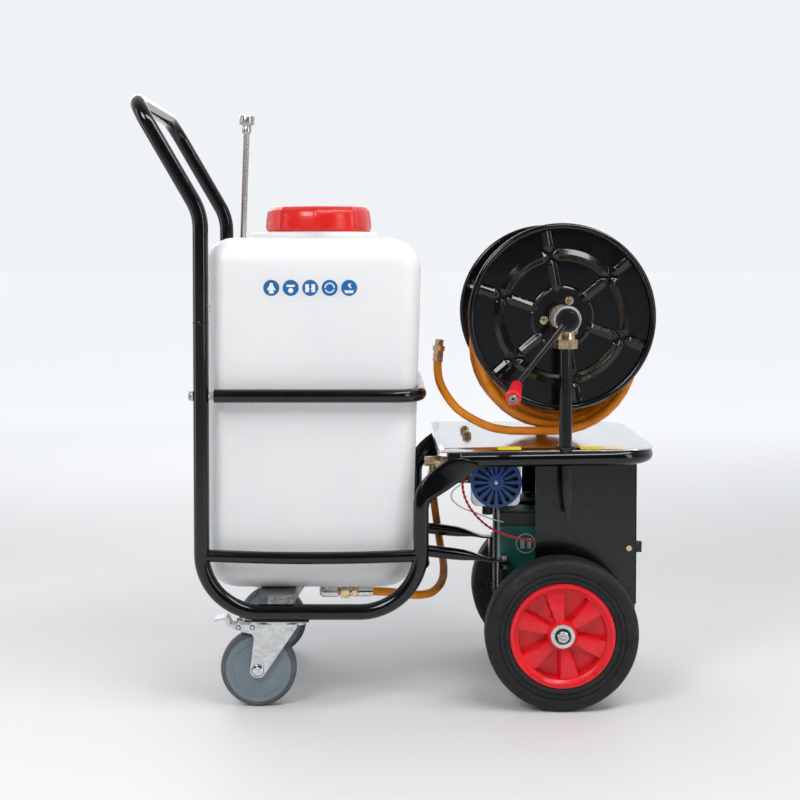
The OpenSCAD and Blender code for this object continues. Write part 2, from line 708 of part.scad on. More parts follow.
// Pressed flange with a rolled rim, a ring ridge and six radial ridges
module flange(side) {
    rotate([side < 0 ? 90 : -90, 0, 0]) translate([0, 0, flange_y]) {
        rotate_extrude($fn = 96) {
            polygon([[shaft_r + gap, 0], [flange_r - 3, 0], [flange_r - 3, 2], [shaft_r + gap, 2]]);
            translate([flange_r - 4, 2]) circle(4);
            polygon([[95, 2], [100, 6], [108, 6], [113, 2]]);
            polygon([[46, 2], [48, 4], [50, 4], [52, 2]]);
        }
        for (k = [0:5], span = [[54, 96], [112, 150]]) rotate([0, 0, 40.7 + 60 * k])
            translate([span[0], -4, 1]) cube([span[1] - span[0], 8, 5]);
        for (a = [66, 190, 310]) rotate([0, 0, a]) translate([30, 0, 2]) cylinder(h = 5, r = 5);
    }
}
module reel_spool() {
    color("#101114") place() translate([reel_x, 0, reel_z]) {
        for (s = [-1, 1]) flange(s);
        rotate([90, 0, 0]) linear_extrude(2 * flange_y, center = true) ring(drum_r, 2);
    }
}
module reel_shaft() {
    color("#c3c6c9") place() translate([reel_x, 0, reel_z]) {
        rod([0, -213, 0], [0, 212, 0], shaft_r);
        rod([0, -213, 0], [0, -207.4, 0], 21.5);
        rod([0, 207.4, 0], [0, 212, 0], 16);
        for (s = [-1, 1]) rod([0, s * (flange_y - 8), 0], [0, s * (flange_y - 0.1), 0], 44);
        for (s = [-1, 1]) rod([0, s * (flange_y + 2.1), 0], [0, s * (flange_y + 14), 0], 20);
    }
}
crank_dir = [cos(232), 0, sin(232)];
crank_end = [reel_x, crank_y, reel_z] + crank_dir * crank_len;
grip_dir = crank_dir * sin(grip_tilt) + [0, -cos(grip_tilt), 0];
module crank_arm() {
    hub = [reel_x, crank_y, reel_z];
    color("#1b1c1f") place() {
        rod(hub + [0, -7, 0], hub + [0, 5.9, 0], 12);
        rod(hub - crank_dir * 14, crank_end, 5);
        rod(crank_end, crank_end + grip_dir * (grip_len - 3), 5);
        translate(crank_end) sphere(5.4);
    }
}
module crank_grip() {
    start = crank_end + grip_dir * 5.6;
    tip = crank_end + grip_dir * (grip_len + 4 / cos(grip_tilt));
    color("#d8141c") place() along(start, tip) difference() {
        linear_extrude(norm(tip - start)) difference() {
            circle(grip_r);
            for (k = [0:7]) rotate(45 * k + 22.5) translate([grip_r + 1.2, 0]) circle(2.6, $fn = 24);
            circle(5.07);
        }
    }
}

// ---- hose ----
pack_half = 118;
pack_r = 63.2;
module hose_pack() {
    color("#f08a12") place() translate([reel_x, 0, reel_z]) rotate([90, 0, 0])
        linear_extrude(2 * pack_half, center = true) ring(pack_r, pack_r - drum_r - gap);
}
module hose_loops() {
    color("#f08a12") place() rotate([90, 0, 0]) linear_extrude(230, center = true) difference() {
        translate([288, 575]) circle(142);
        translate([296, 590]) circle(112.9);
    }
}
module hose_tail() { color("#f08a12") place() sweep(tail_route, hose_r, 12); }
module hose_fitting() {
    a = tail_route[len(tail_route) - 1];
    d = unit([0.1, 0.1, 1]);
    place() {
        color("#c8cacc") rod(a, a + d * 19, 8.4);
        color("#c9a24a") {
            hex(a + d * 19, a + d * 27, 18);
            rod(a + d * 27, a + d * 38, 7);
        }
    }
}

// ---- lance ----
lance_foot = [-278, lance_y, 330];
lance_dir = unit([24.4, 0, 673]);
pivot_x = -262;
pivot_z = 356;
// Spray lance with its gun body, held upright in two cradles
module lance() {
    place() {
        color("#c8cacc") rod(lance_foot + lance_dir * 60, lance_foot + lance_dir * 655, 6);
        color("#aeb4b6") {
            rod(lance_foot + lance_dir * 640, lance_foot + lance_dir * 652, 9);
            rod(lance_foot + lance_dir * 652, lance_foot + lance_dir * 672, cap_r);
        }
        color("#1b1c1f") {
            rod(lance_foot, lance_foot + lance_dir * 72, 10);
            translate(lance_foot) rotate([0, -24, 0]) rod([0, 0, 4], [0, 0, -88], 9);
            for (s = [-1, 1]) translate([0, lance_y + s * 6, 0])
                block([-274, -1.2, pivot_z - 5], [pivot_x + 4, 1.2, pivot_z + 5]);
            rod([pivot_x, lance_y - 6, pivot_z], [pivot_x, lance_y + 6, pivot_z], 1.5);
        }
    }
}
module lance_trigger() {
    lever = [[-266, 352], [-266, 361], [-258, 361], [-221, 292], [-224, 284], [-229, 288]];
    color("#d8141c") place() difference() {
        translate([0, lance_y + 4, 0]) rotate([90, 0, 0]) linear_extrude(8) polygon(lever);
        rod([pivot_x, lance_y - 6, pivot_z], [pivot_x, lance_y + 6, pivot_z], 1.56);
    }
}
// Cradles open outwards, one on the upper hoop and one on the rear upright
module lance_clips() {
    color("#1b1c1f") place() for (h = [178, 262]) {
        p = lance_foot + lance_dir * h;
        difference() {
            union() {
                rod(p, p + lance_dir * 14, 8.6);
                if (h < 200) block([p.x - 6, frame_y + hoop_r - 1, hoop_z - 6], [p.x + 6, lance_y - 6.5, hoop_z + 6]);
                else block([rear_x - 4, frame_y + tube_r - 1, p.z + 1], [p.x, lance_y - 6.5, p.z + 13]);
            }
            rod(p - lance_dir * 2, p + lance_dir * 16, 6.3);
            translate(p - [0, 0, 4]) rotate([0, atan2(lance_dir.x, lance_dir.z), 0])
                translate([-6.3, 0, -1]) cube([12.6, 12, 24]);
        }
    }
}

side_frame_near();
side_frame_far();
push_handle();
handle_spigots();
frame_bolts();
upper_hoop();
lower_bar_near();
lower_bar_far();
tank_rest_bar();
caster_brackets();
brace_cross_tube();
braces();
deck_rail();
deck_plate();
pump_bolts();
box_side_near();
box_side_far();
battery_tray();
box_door();
door_hinge_pin();
door_latch();
box_bolts();
axle();
axle_nuts();
tyre_near();
tyre_far();
rim_near();
rim_far();
caster_plates();
caster_fork_near();
caster_fork_far();
brake_pedal_near();
brake_pedal_far();
caster_wheel_near();
caster_wheel_far();
tank();
lid();
lid_seal();
outlet_fittings();
suction_hose();
pump_motor();
fan_cover();
pump_head();
delivery_line();
battery();
battery_strap();
wiring();
reel_posts();
reel_bearings();
reel_spool();
reel_shaft();
crank_arm();
crank_grip();
hose_pack();
hose_loops();
hose_tail();
hose_fitting();
lance();
lance_clips();
lance_trigger();
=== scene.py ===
import json
import math

import bpy
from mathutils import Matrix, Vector


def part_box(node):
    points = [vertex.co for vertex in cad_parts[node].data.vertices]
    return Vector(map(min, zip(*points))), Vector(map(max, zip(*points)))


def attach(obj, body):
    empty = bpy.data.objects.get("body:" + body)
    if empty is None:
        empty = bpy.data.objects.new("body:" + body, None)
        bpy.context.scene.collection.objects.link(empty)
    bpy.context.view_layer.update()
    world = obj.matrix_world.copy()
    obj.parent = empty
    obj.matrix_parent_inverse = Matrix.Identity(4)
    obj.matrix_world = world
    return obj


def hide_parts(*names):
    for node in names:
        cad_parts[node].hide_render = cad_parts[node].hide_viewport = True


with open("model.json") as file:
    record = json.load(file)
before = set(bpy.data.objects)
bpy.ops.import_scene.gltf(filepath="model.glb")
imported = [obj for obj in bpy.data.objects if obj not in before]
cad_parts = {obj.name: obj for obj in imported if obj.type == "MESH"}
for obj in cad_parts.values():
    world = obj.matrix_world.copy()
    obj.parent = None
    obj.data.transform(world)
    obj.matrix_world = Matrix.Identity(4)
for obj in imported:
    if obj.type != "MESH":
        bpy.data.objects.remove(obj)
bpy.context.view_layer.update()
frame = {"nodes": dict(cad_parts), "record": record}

# ---- places and sizes
MM = 0.001
AXLE_X = 293
WHEEL_R = 125


def centre(node):
    low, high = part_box(node)
    return (low + high) / 2


# part.scad measures from this point of the row frame, found again from the axle
ORIGIN = centre("axle") - Vector((AXLE_X, 0, WHEEL_R)) * MM


def at(x, y, z):
    """A point given in part.scad's own millimetres."""
    return ORIGIN + Vector((x, y, z)) * MM


def route(points):
    return [at(*p) for p in points]


ALONG, UP, NEARWARD = (1, 0, 0), (0, 0, 1), (0, -1, 0)
SIDES = ((-1, "near"), (1, "far"))
TUBE_R = 12.7 * MM
FRAME_Y = 210
REAR_X, FRONT_X, LOW_Z = -291, 63, 165
HOOP_Z, HOOP_X, HOOP_R, HOOP_BEND = 515.5, 62, 11, 45
DECK_TOP = 429.2
REEL = (298, 0, 639)
POST_Y = 190
FLANGE_Y, FLANGE_R = 131, 156
HOSE_D = 14 * MM
LID_X = -110
TANK_FACE_Y = -190

# ---- camera, light and floor
scene = bpy.context.scene


def add(obj):
    scene.collection.objects.link(obj)
    return obj


camera = add(bpy.data.objects.new("camera", bpy.data.cameras.new("camera")))
camera.data.sensor_width = 36
camera.data.lens = 69.3
camera.data.clip_start = 0.1
camera.data.clip_end = 60
camera.data.shift_x = 0.0226
camera.data.shift_y = -0.119
camera.location = at(0, -2680, 759)
camera.rotation_euler = (math.radians(90 - 2.24), 0, 0)
scene.camera = camera
scene.view_settings.view_transform = "Standard"


def area_light(name, place, target, width, height, power):
    lamp = bpy.data.lights.new(name, "AREA")
    lamp.shape = "RECTANGLE"
    lamp.size = width
    lamp.size_y = height
    lamp.energy = power
    obj = add(bpy.data.objects.new(name, lamp))
    obj.location = at(*place)
    aim = at(*target) - obj.location
    obj.rotation_mode = "QUATERNION"
    obj.rotation_quaternion = aim.to_track_quat("-Z", "Y")
    return obj


MIDDLE = (20, 0, 450)
area_light("key_softbox", (-1300, -2300, 2300), MIDDLE, 1.0, 1.0, 36)
area_light("fill_softbox", (2300, -1900, 1300), MIDDLE, 0.6, 2.0, 15)
area_light("top_softbox", (1100, -1150, 2700), MIDDLE, 2.4, 0.5, 40)
area_light("rim_softbox", (-900, 2600, 1900), MIDDLE, 1.8, 1.2, 16)
area_light("side_strip", (-2600, -300, 900), MIDDLE, 0.4, 2.0, 9)


def studio_world():
    """A white cyclorama: bright behind the object and overhead, dim on the camera's side."""
    world = bpy.data.worlds.new("studio")
    world.use_nodes = True
    tree = world.node_tree
    coords = tree.nodes.new("ShaderNodeTexCoord")
    split = tree.nodes.new("ShaderNodeSeparateXYZ")
    span = tree.nodes.new("ShaderNodeMapRange")
    span.interpolation_type = "SMOOTHSTEP"
    for key, value in (("From Min", -0.7), ("From Max", 0.75), ("To Min", 0.05), ("To Max", 0.92)):
        span.inputs[key].default_value = value
    tree.links.new(coords.outputs["Generated"], split.inputs["Vector"])
    tree.links.new(split.outputs["Y"], span.inputs["Value"])
    background = tree.nodes["Background"]
    background.inputs["Color"].default_value = (0.95, 0.97, 1.0, 1)
    tree.links.new(span.outputs["Result"], background.inputs["Strength"])
    return world


scene.world = studio_world()


# ---- materials
class Shader:
    """A procedural material in the object's own coordinates, built step by step."""

    def __init__(self, name, rough=0.4, metal=0.0, **inputs):
        self.material = bpy.data.materials.new(name)
        self.material.use_nodes = True
        self.tree = self.material.node_tree
        self.bsdf = self.tree.nodes["Principled BSDF"]
        self.bsdf.inputs["Roughness"].default_value = rough
        self.bsdf.inputs["Metallic"].default_value = metal
        for key, value in inputs.items():
            self.bsdf.inputs[key.replace("_", " ")].default_value = value
        self.coords = self.node("ShaderNodeTexCoord").outputs["Object"]
        self.height = None

    def node(self, kind, **settings):
        made = self.tree.nodes.new(kind)
        for key, value in settings.items():
            setattr(made, key, value)
        return made

    def link(self, source, target):
        self.tree.links.new(source, target)

    def stretched(self, scale):
        mapping = self.node("ShaderNodeMapping")
        mapping.inputs["Scale"].default_value = scale
        self.link(self.coords, mapping.inputs["Vector"])
        return mapping.outputs["Vector"]

    def noise(self, size, detail=4.0, stretch=(1, 1, 1), rough=0.55):
        """Noise whose features are about size millimetres across."""
        tex = self.node("ShaderNodeTexNoise")
        tex.inputs["Scale"].default_value = 1000 / size
        tex.inputs["Detail"].default_value = detail
        tex.inputs["Roughness"].default_value = rough
        self.link(self.stretched(stretch), tex.inputs["Vector"])
        return tex.outputs["Fac"]

    def ramp(self, source, stops):
        ramp = self.node("ShaderNodeValToRGB")
        while len(ramp.color_ramp.elements) < len(stops):
            ramp.color_ramp.elements.new(0.5)
        for element, (place, tone) in zip(ramp.color_ramp.elements, stops):
            element.position = place
            element.color = (*tone, 1)
        self.link(source, ramp.inputs["Fac"])
        return ramp.outputs["Color"]

    def colour(self, source, stops):
        self.link(self.ramp(source, stops), self.bsdf.inputs["Base Color"])
        return self

    def roughness(self, source, low, high):
        span = self.node("ShaderNodeMapRange")
        span.inputs["From Min"].default_value = 0.3
        span.inputs["From Max"].default_value = 0.7
        span.inputs["To Min"].default_value = low
        span.inputs["To Max"].default_value = high
        self.link(source, span.inputs["Value"])
        self.link(span.outputs["Result"], self.bsdf.inputs["Roughness"])
        return self

    def bump(self, source, strength, depth=0.2):
        """Adds relief of about depth millimetres; later calls lie on top of earlier ones."""
        bump = self.node("ShaderNodeBump")
        bump.inputs["Strength"].default_value = strength
        bump.inputs["Distance"].default_value = depth * MM
        self.link(source, bump.inputs["Height"])
        if self.height is not None:
            self.link(self.height, bump.inputs["Normal"])
        self.height = bump.outputs["Normal"]
        self.link(self.height, self.bsdf.inputs["Normal"])
        return self


def shades(tone, spread):
    """Dark to light stops round one tone."""
    dark = tuple(c * (1 - spread) for c in tone)
    light = tuple(min(1, c * (1 + spread)) for c in tone)
    return [(0.3, dark), (0.5, tone), (0.7, light)]


def black_enamel(name, tone=(0.0028, 0.0031, 0.0040), rough=0.11):
    made = Shader(name, rough, 0.0, Coat_Weight=0.25, Coat_Roughness=0.03, Specular_IOR_Level=0.38)
    made.colour(made.noise(60, 5), shades(tone, 0.35))
    made.roughness(made.noise(18, 6), rough * 0.75, rough * 1.7)
    made.bump(made.noise(9, 3), 0.12, 0.3)
    made.bump(made.noise(1.4, 2), 0.05, 0.08)
    return made.material


def zinc_plate(name, tone=(0.68, 0.685, 0.69), rough=0.26, streak=(1, 1, 1.6)):
    made = Shader(name, rough, 1.0)
    made.colour(made.noise(14, 6, streak), shades(tone, 0.15))
    made.roughness(made.noise(5, 6, streak), rough * 0.7, rough * 1.5)
    made.bump(made.noise(1.2, 4, streak), 0.10, 0.1)
    return made.material


def brass_metal(name):
    made = Shader(name, 0.26, 1.0)
    tones = [(0.3, (0.52, 0.35, 0.17)), (0.5, (0.78, 0.59, 0.36)), (0.72, (0.90, 0.76, 0.54))]
    made.colour(made.noise(11, 6), tones)
    made.roughness(made.noise(6, 5), 0.18, 0.42)
    made.bump(made.noise(1.0, 4), 0.10, 0.1)
    return made.material


def moulded(name, tone, rough=0.32, spread=0.10, grain=1.3, bump=0.10, **inputs):
    made = Shader(name, rough, 0.0, **inputs)
    made.colour(made.noise(45, 5), shades(tone, spread))
    made.roughness(made.noise(16, 5), rough * 0.8, rough * 1.35)
    made.bump(made.noise(grain, 3), bump, 0.12)
    return made.material


def mirror_sheet(name):
    made = Shader(name, 0.1, 1.0)
    made.colour(made.noise(80, 4, (1, 0.12, 1)), shades((0.73, 0.74, 0.76), 0.08))
    made.roughness(made.noise(26, 6, (1, 0.1, 1)), 0.05, 0.17)
    made.bump(made.noise(140, 2), 0.25, 0.5)
    made.bump(made.noise(0.9, 3, (1, 0.04, 1)), 0.05, 0.04)
    return made.material


def tank_plastic(name):
    made = Shader(name, 0.36, 0.0, Subsurface_Weight=0.35, Subsurface_Scale=0.03, Specular_IOR_Level=0.45)
    made.bsdf.inputs["Subsurface Radius"].default_value = (1.0, 0.95, 0.9)
    made.colour(made.noise(210, 3), [(0.3, (0.83, 0.845, 0.86)), (0.7, (0.90, 0.905, 0.915))])
    made.roughness(made.noise(60, 5), 0.30, 0.44)
    made.bump(made.noise(70, 3), 0.25, 0.5)
    made.bump(made.noise(2.2, 3), 0.07, 0.12)
    return made.material


def hose_rubber(name):
    made = Shader(name, 0.42, 0.0, Specular_IOR_Level=0.42)
    tones = [(0.3, (0.66, 0.185, 0.003)), (0.55, (0.80, 0.25, 0.005)), (0.75, (0.90, 0.34, 0.012))]
    made.colour(made.noise(24, 5), tones)
    made.roughness(made.noise(9, 5), 0.32, 0.52)
    made.bump(made.noise(1.1, 3), 0.12, 0.1)
    return made.material


def tyre_rubber(name):
    made = Shader(name, 0.62, 0.0, Specular_IOR_Level=0.4)
    tones = [(0.3, (0.006, 0.0065, 0.0072)), (0.6, (0.012, 0.0125, 0.0137)), (0.8, (0.034, 0.034, 0.033))]
    made.colour(made.noise(30, 6), tones)
    made.roughness(made.noise(8, 6), 0.5, 0.8)
    made.bump(made.noise(1.6, 5), 0.25, 0.2)
    return made.material


def dusty_steel(name):
    made = Shader(name, 0.5, 0.85)
    tones = [(0.3, (0.14, 0.133, 0.122)), (0.55, (0.23, 0.22, 0.20)), (0.75, (0.31, 0.30, 0.285))]
    made.colour(made.noise(22, 7), tones)
    made.roughness(made.noise(7, 6), 0.4, 0.66)
    made.bump(made.noise(1.5, 5), 0.2, 0.15)
    return made.material


MATS = {
    "frame_paint": black_enamel("frame_enamel"),
    "box_paint": black_enamel("box_enamel", (0.0036, 0.0038, 0.0044), 0.17),
    "reel_paint": black_enamel("reel_enamel", (0.0026, 0.0029, 0.0037), 0.11),
    "zinc": zinc_plate("zinc_plate"),
    "stainless": mirror_sheet("polished_stainless"),
    "steel": zinc_plate("lance_stainless", (0.60, 0.59, 0.57), 0.24, (1, 1, 0.2)),
    "grey_steel": dusty_steel("galvanised_steel"),
    "brass": brass_metal("machined_brass"),
    "tyre_rubber": tyre_rubber("tyre_rubber"),
    "caster_plastic": moulded("caster_nylon", (0.20, 0.255, 0.29), 0.34),
    "red_plastic": moulded("red_nylon", (0.80, 0.011, 0.022), 0.30),
    "lid_plastic": moulded("lid_polyethylene", (0.70, 0.016, 0.010), 0.26),
    "tank_plastic": tank_plastic("tank_polyethylene"),
    "seal_rubber": moulded("black_rubber", (0.018, 0.018, 0.019), 0.55, 0.3),
    "hose_rubber": hose_rubber("orange_hose"),
    "blue_plastic": moulded("blue_nylon", (0.002, 0.062, 0.26), 0.3),
    "black_plastic": moulded("black_nylon", (0.016, 0.017, 0.019), 0.42, 0.3),
    "battery_plastic": moulded("green_case", (0.004, 0.10, 0.078), 0.38, 0.2),
    "wire_plastic": moulded("red_insulation", (0.55, 0.015, 0.03), 0.35),
}
NUT_STEEL = zinc_plate("dull_zinc", (0.34, 0.34, 0.34), 0.34, (1, 1, 1))
CHROME = zinc_plate("bright_nickel", (0.78, 0.78, 0.77), 0.12, (1, 1, 1))
BELL_METAL = zinc_plate("cast_aluminium", (0.80, 0.80, 0.79), 0.38, (1, 1, 1))
# dark plastic for the deck grommet and the reel hub; also the painted shade round the wheel nuts, fork bolts
# and rivets
DARK_PARTS_AND_SHADE = moulded("dark_plastic_and_painted_shade", (0.012, 0.012, 0.013), 0.4, 0.3)
LABEL_YELLOW = moulded("yellow_label", (0.86, 0.70, 0.015), 0.4, 0.06)
LABEL_PALE = moulded("pale_label", (0.80, 0.76, 0.55), 0.4, 0.06)
DISC_BLUE = moulded("blue_vinyl", (0.001, 0.13, 0.39), 0.5, 0.06)
DISC_WHITE = moulded("white_vinyl", (0.86, 0.88, 0.9), 0.4, 0.04)
WIRE_WHITE = moulded("white_insulation", (0.75, 0.74, 0.68), 0.4, 0.1)
CASTER_TREAD = moulded("grey_tread", (0.10, 0.106, 0.11), 0.6, 0.2, 2.0, 0.2)
EMBLEM_GREY = moulded("pale_print", (0.36, 0.44, 0.42), 0.45, 0.1)
BATTERY_BLACK = moulded("battery_lid_plastic", (0.018, 0.02, 0.022), 0.4, 0.3)

SLOT_OF = {s["node"]: s["material_slot"] for s in frame["record"]["subparts"]}
for node_name, cad in frame["nodes"].items():
    cad.data.materials.clear()
    cad.data.materials.append(MATS[SLOT_OF[node_name]])
    cad.data.shade_smooth()
    cad.data.set_sharp_from_angle(angle=math.radians(32))


# ---- mesh tools
def piece(name, mesh, slot, body="root", nodes=(), look=None, bevel=0.0, sharp=35):
    """A finished object that rides on a body and may stand for CAD nodes; mesh is (verts, faces)."""
    verts, faces = mesh
    data = bpy.data.meshes.new(name)
    data.from_pydata([tuple(v) for v in verts], [], faces)
    data.validate()
    data.shade_smooth()
    data.set_sharp_from_angle(angle=math.radians(sharp))
    data.materials.append(look or MATS[slot])
    obj = add(bpy.data.objects.new(name, data))
    if bevel:
        mod = obj.modifiers.new("edges", "BEVEL")
        mod.width = bevel * MM
        mod.segments = 2
        mod.limit_method = "ANGLE"
        mod.angle_limit = math.radians(40)
        mod.harden_normals = False
    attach(obj, body)
    if nodes:
        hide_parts(*nodes)
    return obj


def near_only(side, *nodes):
    """CAD nodes that hold both sides at once are replaced by the near piece alone."""
    return nodes if side < 0 else ()


def make_sheet(obj, thickness):
    """Gives an open surface its wall, on the inner side."""
    wall = obj.modifiers.new("sheet", "SOLIDIFY")
    wall.thickness = thickness * MM
    wall.offset = -1


def ring_faces(rings, sides):
    """Faces of a closed tube made of rings of vertices, with both ends capped."""
    faces = []
    for i in range(rings - 1):
        a, b = i * sides, (i + 1) * sides
        for j in range(sides):
            k = (j + 1) % sides
            faces.append((a + j, a + k, b + k, b + j))
    faces.append(tuple(range(sides - 1, -1, -1)))
    faces.append(tuple((rings - 1) * sides + j for j in range(sides)))
    return faces


def frames_along(points):
    """Directions and turning-free side vectors along a line of points."""
    dirs = []
    for i in range(len(points)):
        a = points[max(i - 1, 0)]
        b = points[min(i + 1, len(points) - 1)]
        dirs.append((b - a).normalized())
    side = dirs[0].orthogonal().normalized()
    sides = [side]
    for i in range(1, len(points)):
        side = dirs[i - 1].rotation_difference(dirs[i]) @ side
        side = (side - dirs[i] * side.dot(dirs[i])).normalized()
        sides.append(side)
    return dirs, sides


def tube_mesh(points, radius, sides=20):
    """A round tube; radius is one value or one per point."""
    dirs, lateral = frames_along(points)
    radii = radius if isinstance(radius, (list, tuple)) else [radius] * len(points)
    verts = []
    for p, d, s, r in zip(points, dirs, lateral, radii):
        t = d.cross(s)
        for j in range(sides):
            a = 2 * math.pi * j / sides
            verts.append(p + (s * math.cos(a) + t * math.sin(a)) * r)
    return verts, ring_faces(len(points), sides)


def squarish(j, sides, power):
    """Point j of a unit outline: a circle at power 1, squarer below it."""
    a = 2 * math.pi * j / sides
    c, s = math.cos(a), math.sin(a)
    return math.copysign(abs(c) ** power, c), math.copysign(abs(s) ** power, s)


def bent_line(corners, bends, step=4.0):
    """Points along straight runs joined by round bends, in part.scad's millimetres."""
    pts = [Vector(c) for c in corners]
    line = [pts[0]]
    for i, bend in enumerate(bends):
        p, q, r = pts[i], pts[i + 1], pts[i + 2]
        u, w = (q - p).normalized(), (r - q).normalized()
        turn = u.angle(w)
        start = q - u * bend * math.tan(turn / 2)
        n = (w - u * u.dot(w)).normalized()
        hub = start + n * bend
        count = max(6, int(bend * turn / step))
        for k in range(count + 1):
            a = turn * k / count
            line.append(hub - n * bend * math.cos(a) + u * bend * math.sin(a))
    line.append(pts[-1])
    return [at(*p) for p in line]


def spline(points, per_span=8):
    """Catmull-Rom points through the given ones."""
    pts = [points[0] * 2 - points[1], *points, points[-1] * 2 - points[-2]]
    line = []
    for i in range(1, len(pts) - 2):
        p0, p1, p2, p3 = pts[i - 1:i + 3]
        for k in range(per_span):
            t = k / per_span
            line.append(0.5 * (2 * p1 + (p2 - p0) * t + (2 * p0 - 5 * p1 + 4 * p2 - p3) * t * t
                               + (3 * p1 - p0 - 3 * p2 + p3) * t ** 3))
    line.append(pts[-2])
    return line


def lathe(profile, hub, axis, count=96):
    """Turns (radius, height) points, in millimetres, round an axis through hub."""
    axis = Vector(axis).normalized()
    s = axis.orthogonal().normalized()
    t = axis.cross(s)
    n = len(profile)
    verts = [hub + axis * h * MM + (s * math.cos(a) + t * math.sin(a)) * r * MM
             for a in (2 * math.pi * i / count for i in range(count)) for r, h in profile]
    faces = []
    for i in range(count):
        a, b = i * n, ((i + 1) % count) * n
        for j in range(n):
            k = (j + 1) % n
            faces.append((a + j, b + j, b + k, a + k))
    return verts, faces


def turned(name, profile, hub, axis, slot, body="root", nodes=(), look=None, count=64, sharp=35):
    """A lathe piece placed on a body in one step."""
    return piece(name, lathe(profile, hub, axis, count), slot, body, nodes, look, sharp=sharp)


def nut(flats, h0, h1):
    """Profile of a bolt head or nut; six turning steps make it a hexagon."""
    r = flats / math.sqrt(3)
    return [(0.1, h0), (r, h0), (r, h1 - 0.8), (r - 1.2, h1), (0.1, h1)]


def disc(r, h0, h1, bore=0.1):
    """Profile of a flat round disc or ring."""
    return [(bore, h0), (r, h0), (r, h1), (bore, h1)]


def barrel(r, h0, h1, edge=0.8):
    """Profile of a short round bar with eased edges."""
    return [(0.1, h0), (r - edge, h0), (r, h0 + edge), (r, h1 - edge), (r - edge, h1), (0.1, h1)]


def mirrored(half):
    """Adds the other half of a profile that is the same on both sides."""
    return half + [(r, -v) for r, v in reversed(half)]


def relief_mesh(turns, radii_at, side):
    """An open dish of concentric rings; radii_at gives the points of one ray for an angle."""
    verts = []
    for i in range(turns):
        ray = radii_at(2 * math.pi * i / turns)
        verts += ray
    n = len(ray)
    faces = []
    for i in range(turns):
        p, q = i * n, ((i + 1) % turns) * n
        for j in range(n - 1):
            quad = (p + j, p + j + 1, q + j + 1, q + j)
            faces.append(quad if side < 0 else quad[::-1])
    return verts, faces


def join(*meshes):
    verts, faces = [], []
    for v, f in meshes:
        base = len(verts)
        verts += v
        faces += [tuple(i + base for i in face) for face in f]
    return verts, faces


def prism(outline, place, thick):
    """A plate from an outline; place maps (u, v, w) to a point."""
    n = len(outline)
    verts = [place(u, v, -thick / 2) for u, v in outline] + [place(u, v, thick / 2) for u, v in outline]
    faces = [(j, (j + 1) % n, n + (j + 1) % n, n + j) for j in range(n)]
    faces += [tuple(range(n - 1, -1, -1)), tuple(range(n, 2 * n))]
    return verts, faces


def arc(cx, cy, r, a0, a1, n=8):
    return [(cx + r * math.cos(math.radians(a0 + (a1 - a0) * i / n)),
             cy + r * math.sin(math.radians(a0 + (a1 - a0) * i / n))) for i in range(n + 1)]


# ---- hoses
TURNS = 15
PITCH_Y = 14.35
TOP_Z = 710
LAST_Y = -100.5
TAIL = [[236, -100.5, 446], [225, -99.5, 446], [214, -98, 446.5], [183, -94, 451.5],
        [152.5, -90, 465], [130, -86, 479.5], [116, -82, 494.5], [106, -78, 509.5], [98.5, -74, 525],
        [95, -71, 542], [94.5, -68, 560]]
PER_TURN = 36


def loop_radius(turn):
    """Loose loops differ a little in size; the last one carries the tail."""
    k = min(TURNS, max(0.0, turn))
    sway = 4.5 * math.sin(2.1 * k) + 3.0 * math.sin(5.3 * k + 1)
    blend = min(1.0, max(0.0, TURNS - k))
    return 132 - blend * (7.5 - sway)


def loop_point(turn):
    """Centre line of the loose hose, counted in turns from the drum's far end."""
    r = loop_radius(turn)
    a = 2 * math.pi * turn
    lean = -0.8 * math.sqrt(max(0.0, 1.2 * (r - 71))) * (0.5 + 0.5 * math.sin(1.7 * turn))
    x = REEL[0] + lean + r * math.sin(a)
    z = TOP_Z - r + r * math.cos(a)
    y = LAST_Y + (TURNS + 0.5 - turn) * PITCH_Y
    return Vector((x, y, z))


loose = [loop_point(i / PER_TURN) for i in range(int((TURNS + 0.5) * PER_TURN) + 1)]
loose_line = route(loose) + spline(route([[262, -101, 446]] + TAIL), 4)[1:]


def hose_curve(name, line, body, nodes):
    """A hose as one open poly curve with a round section."""
    data = bpy.data.curves.new(name, "CURVE")
    data.dimensions = "3D"
    data.bevel_depth = HOSE_D / 2
    data.bevel_resolution = 5
    data.use_fill_caps = True
    run = data.splines.new("POLY")
    run.points.add(len(line) - 1)
    for point, p in zip(run.points, line):
        point.co = (*p, 1)
    run.use_smooth = True
    data.materials.append(MATS["hose_rubber"])
    obj = add(bpy.data.objects.new(name, data))
    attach(obj, body)
    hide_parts(*nodes)
    return obj


spray_hose = hose_curve("spray_hose", loose_line, "root", ["hose_loops", "hose_tail"])

PACK_TURNS, PACK_R, PACK_PITCH, PACK_STEPS = 16, 56.1, 14.3, 48


def pack_point(i):
    """Centre line of the hose that is wound on the drum."""
    a = 2 * math.pi * i / PACK_STEPS
    y = (i / PACK_STEPS - PACK_TURNS / 2) * PACK_PITCH
    return at(REEL[0] + PACK_R * math.sin(a), y, REEL[2] + PACK_R * math.cos(a))


hose_curve("wound_hose", [pack_point(i) for i in range(PACK_TURNS * PACK_STEPS + 1)], "reel", ["hose_pack"])

SUCTION = [[-15, -122, 179], [10, -122, 178], [35, -118, 174], [60, -105, 169],
           [82, -82, 167], [97, -52, 171], [106, -16, 178], [109, 22, 188], [109, 62, 197],
           [107, 98, 208], [104, 121, 228], [100, 130, 256], [96, 132, 284], [94, 132, 308],
           [93, 132, 326]]
hose_curve("suction_line", spline(route(SUCTION), 8), "root", ["suction_hose"])


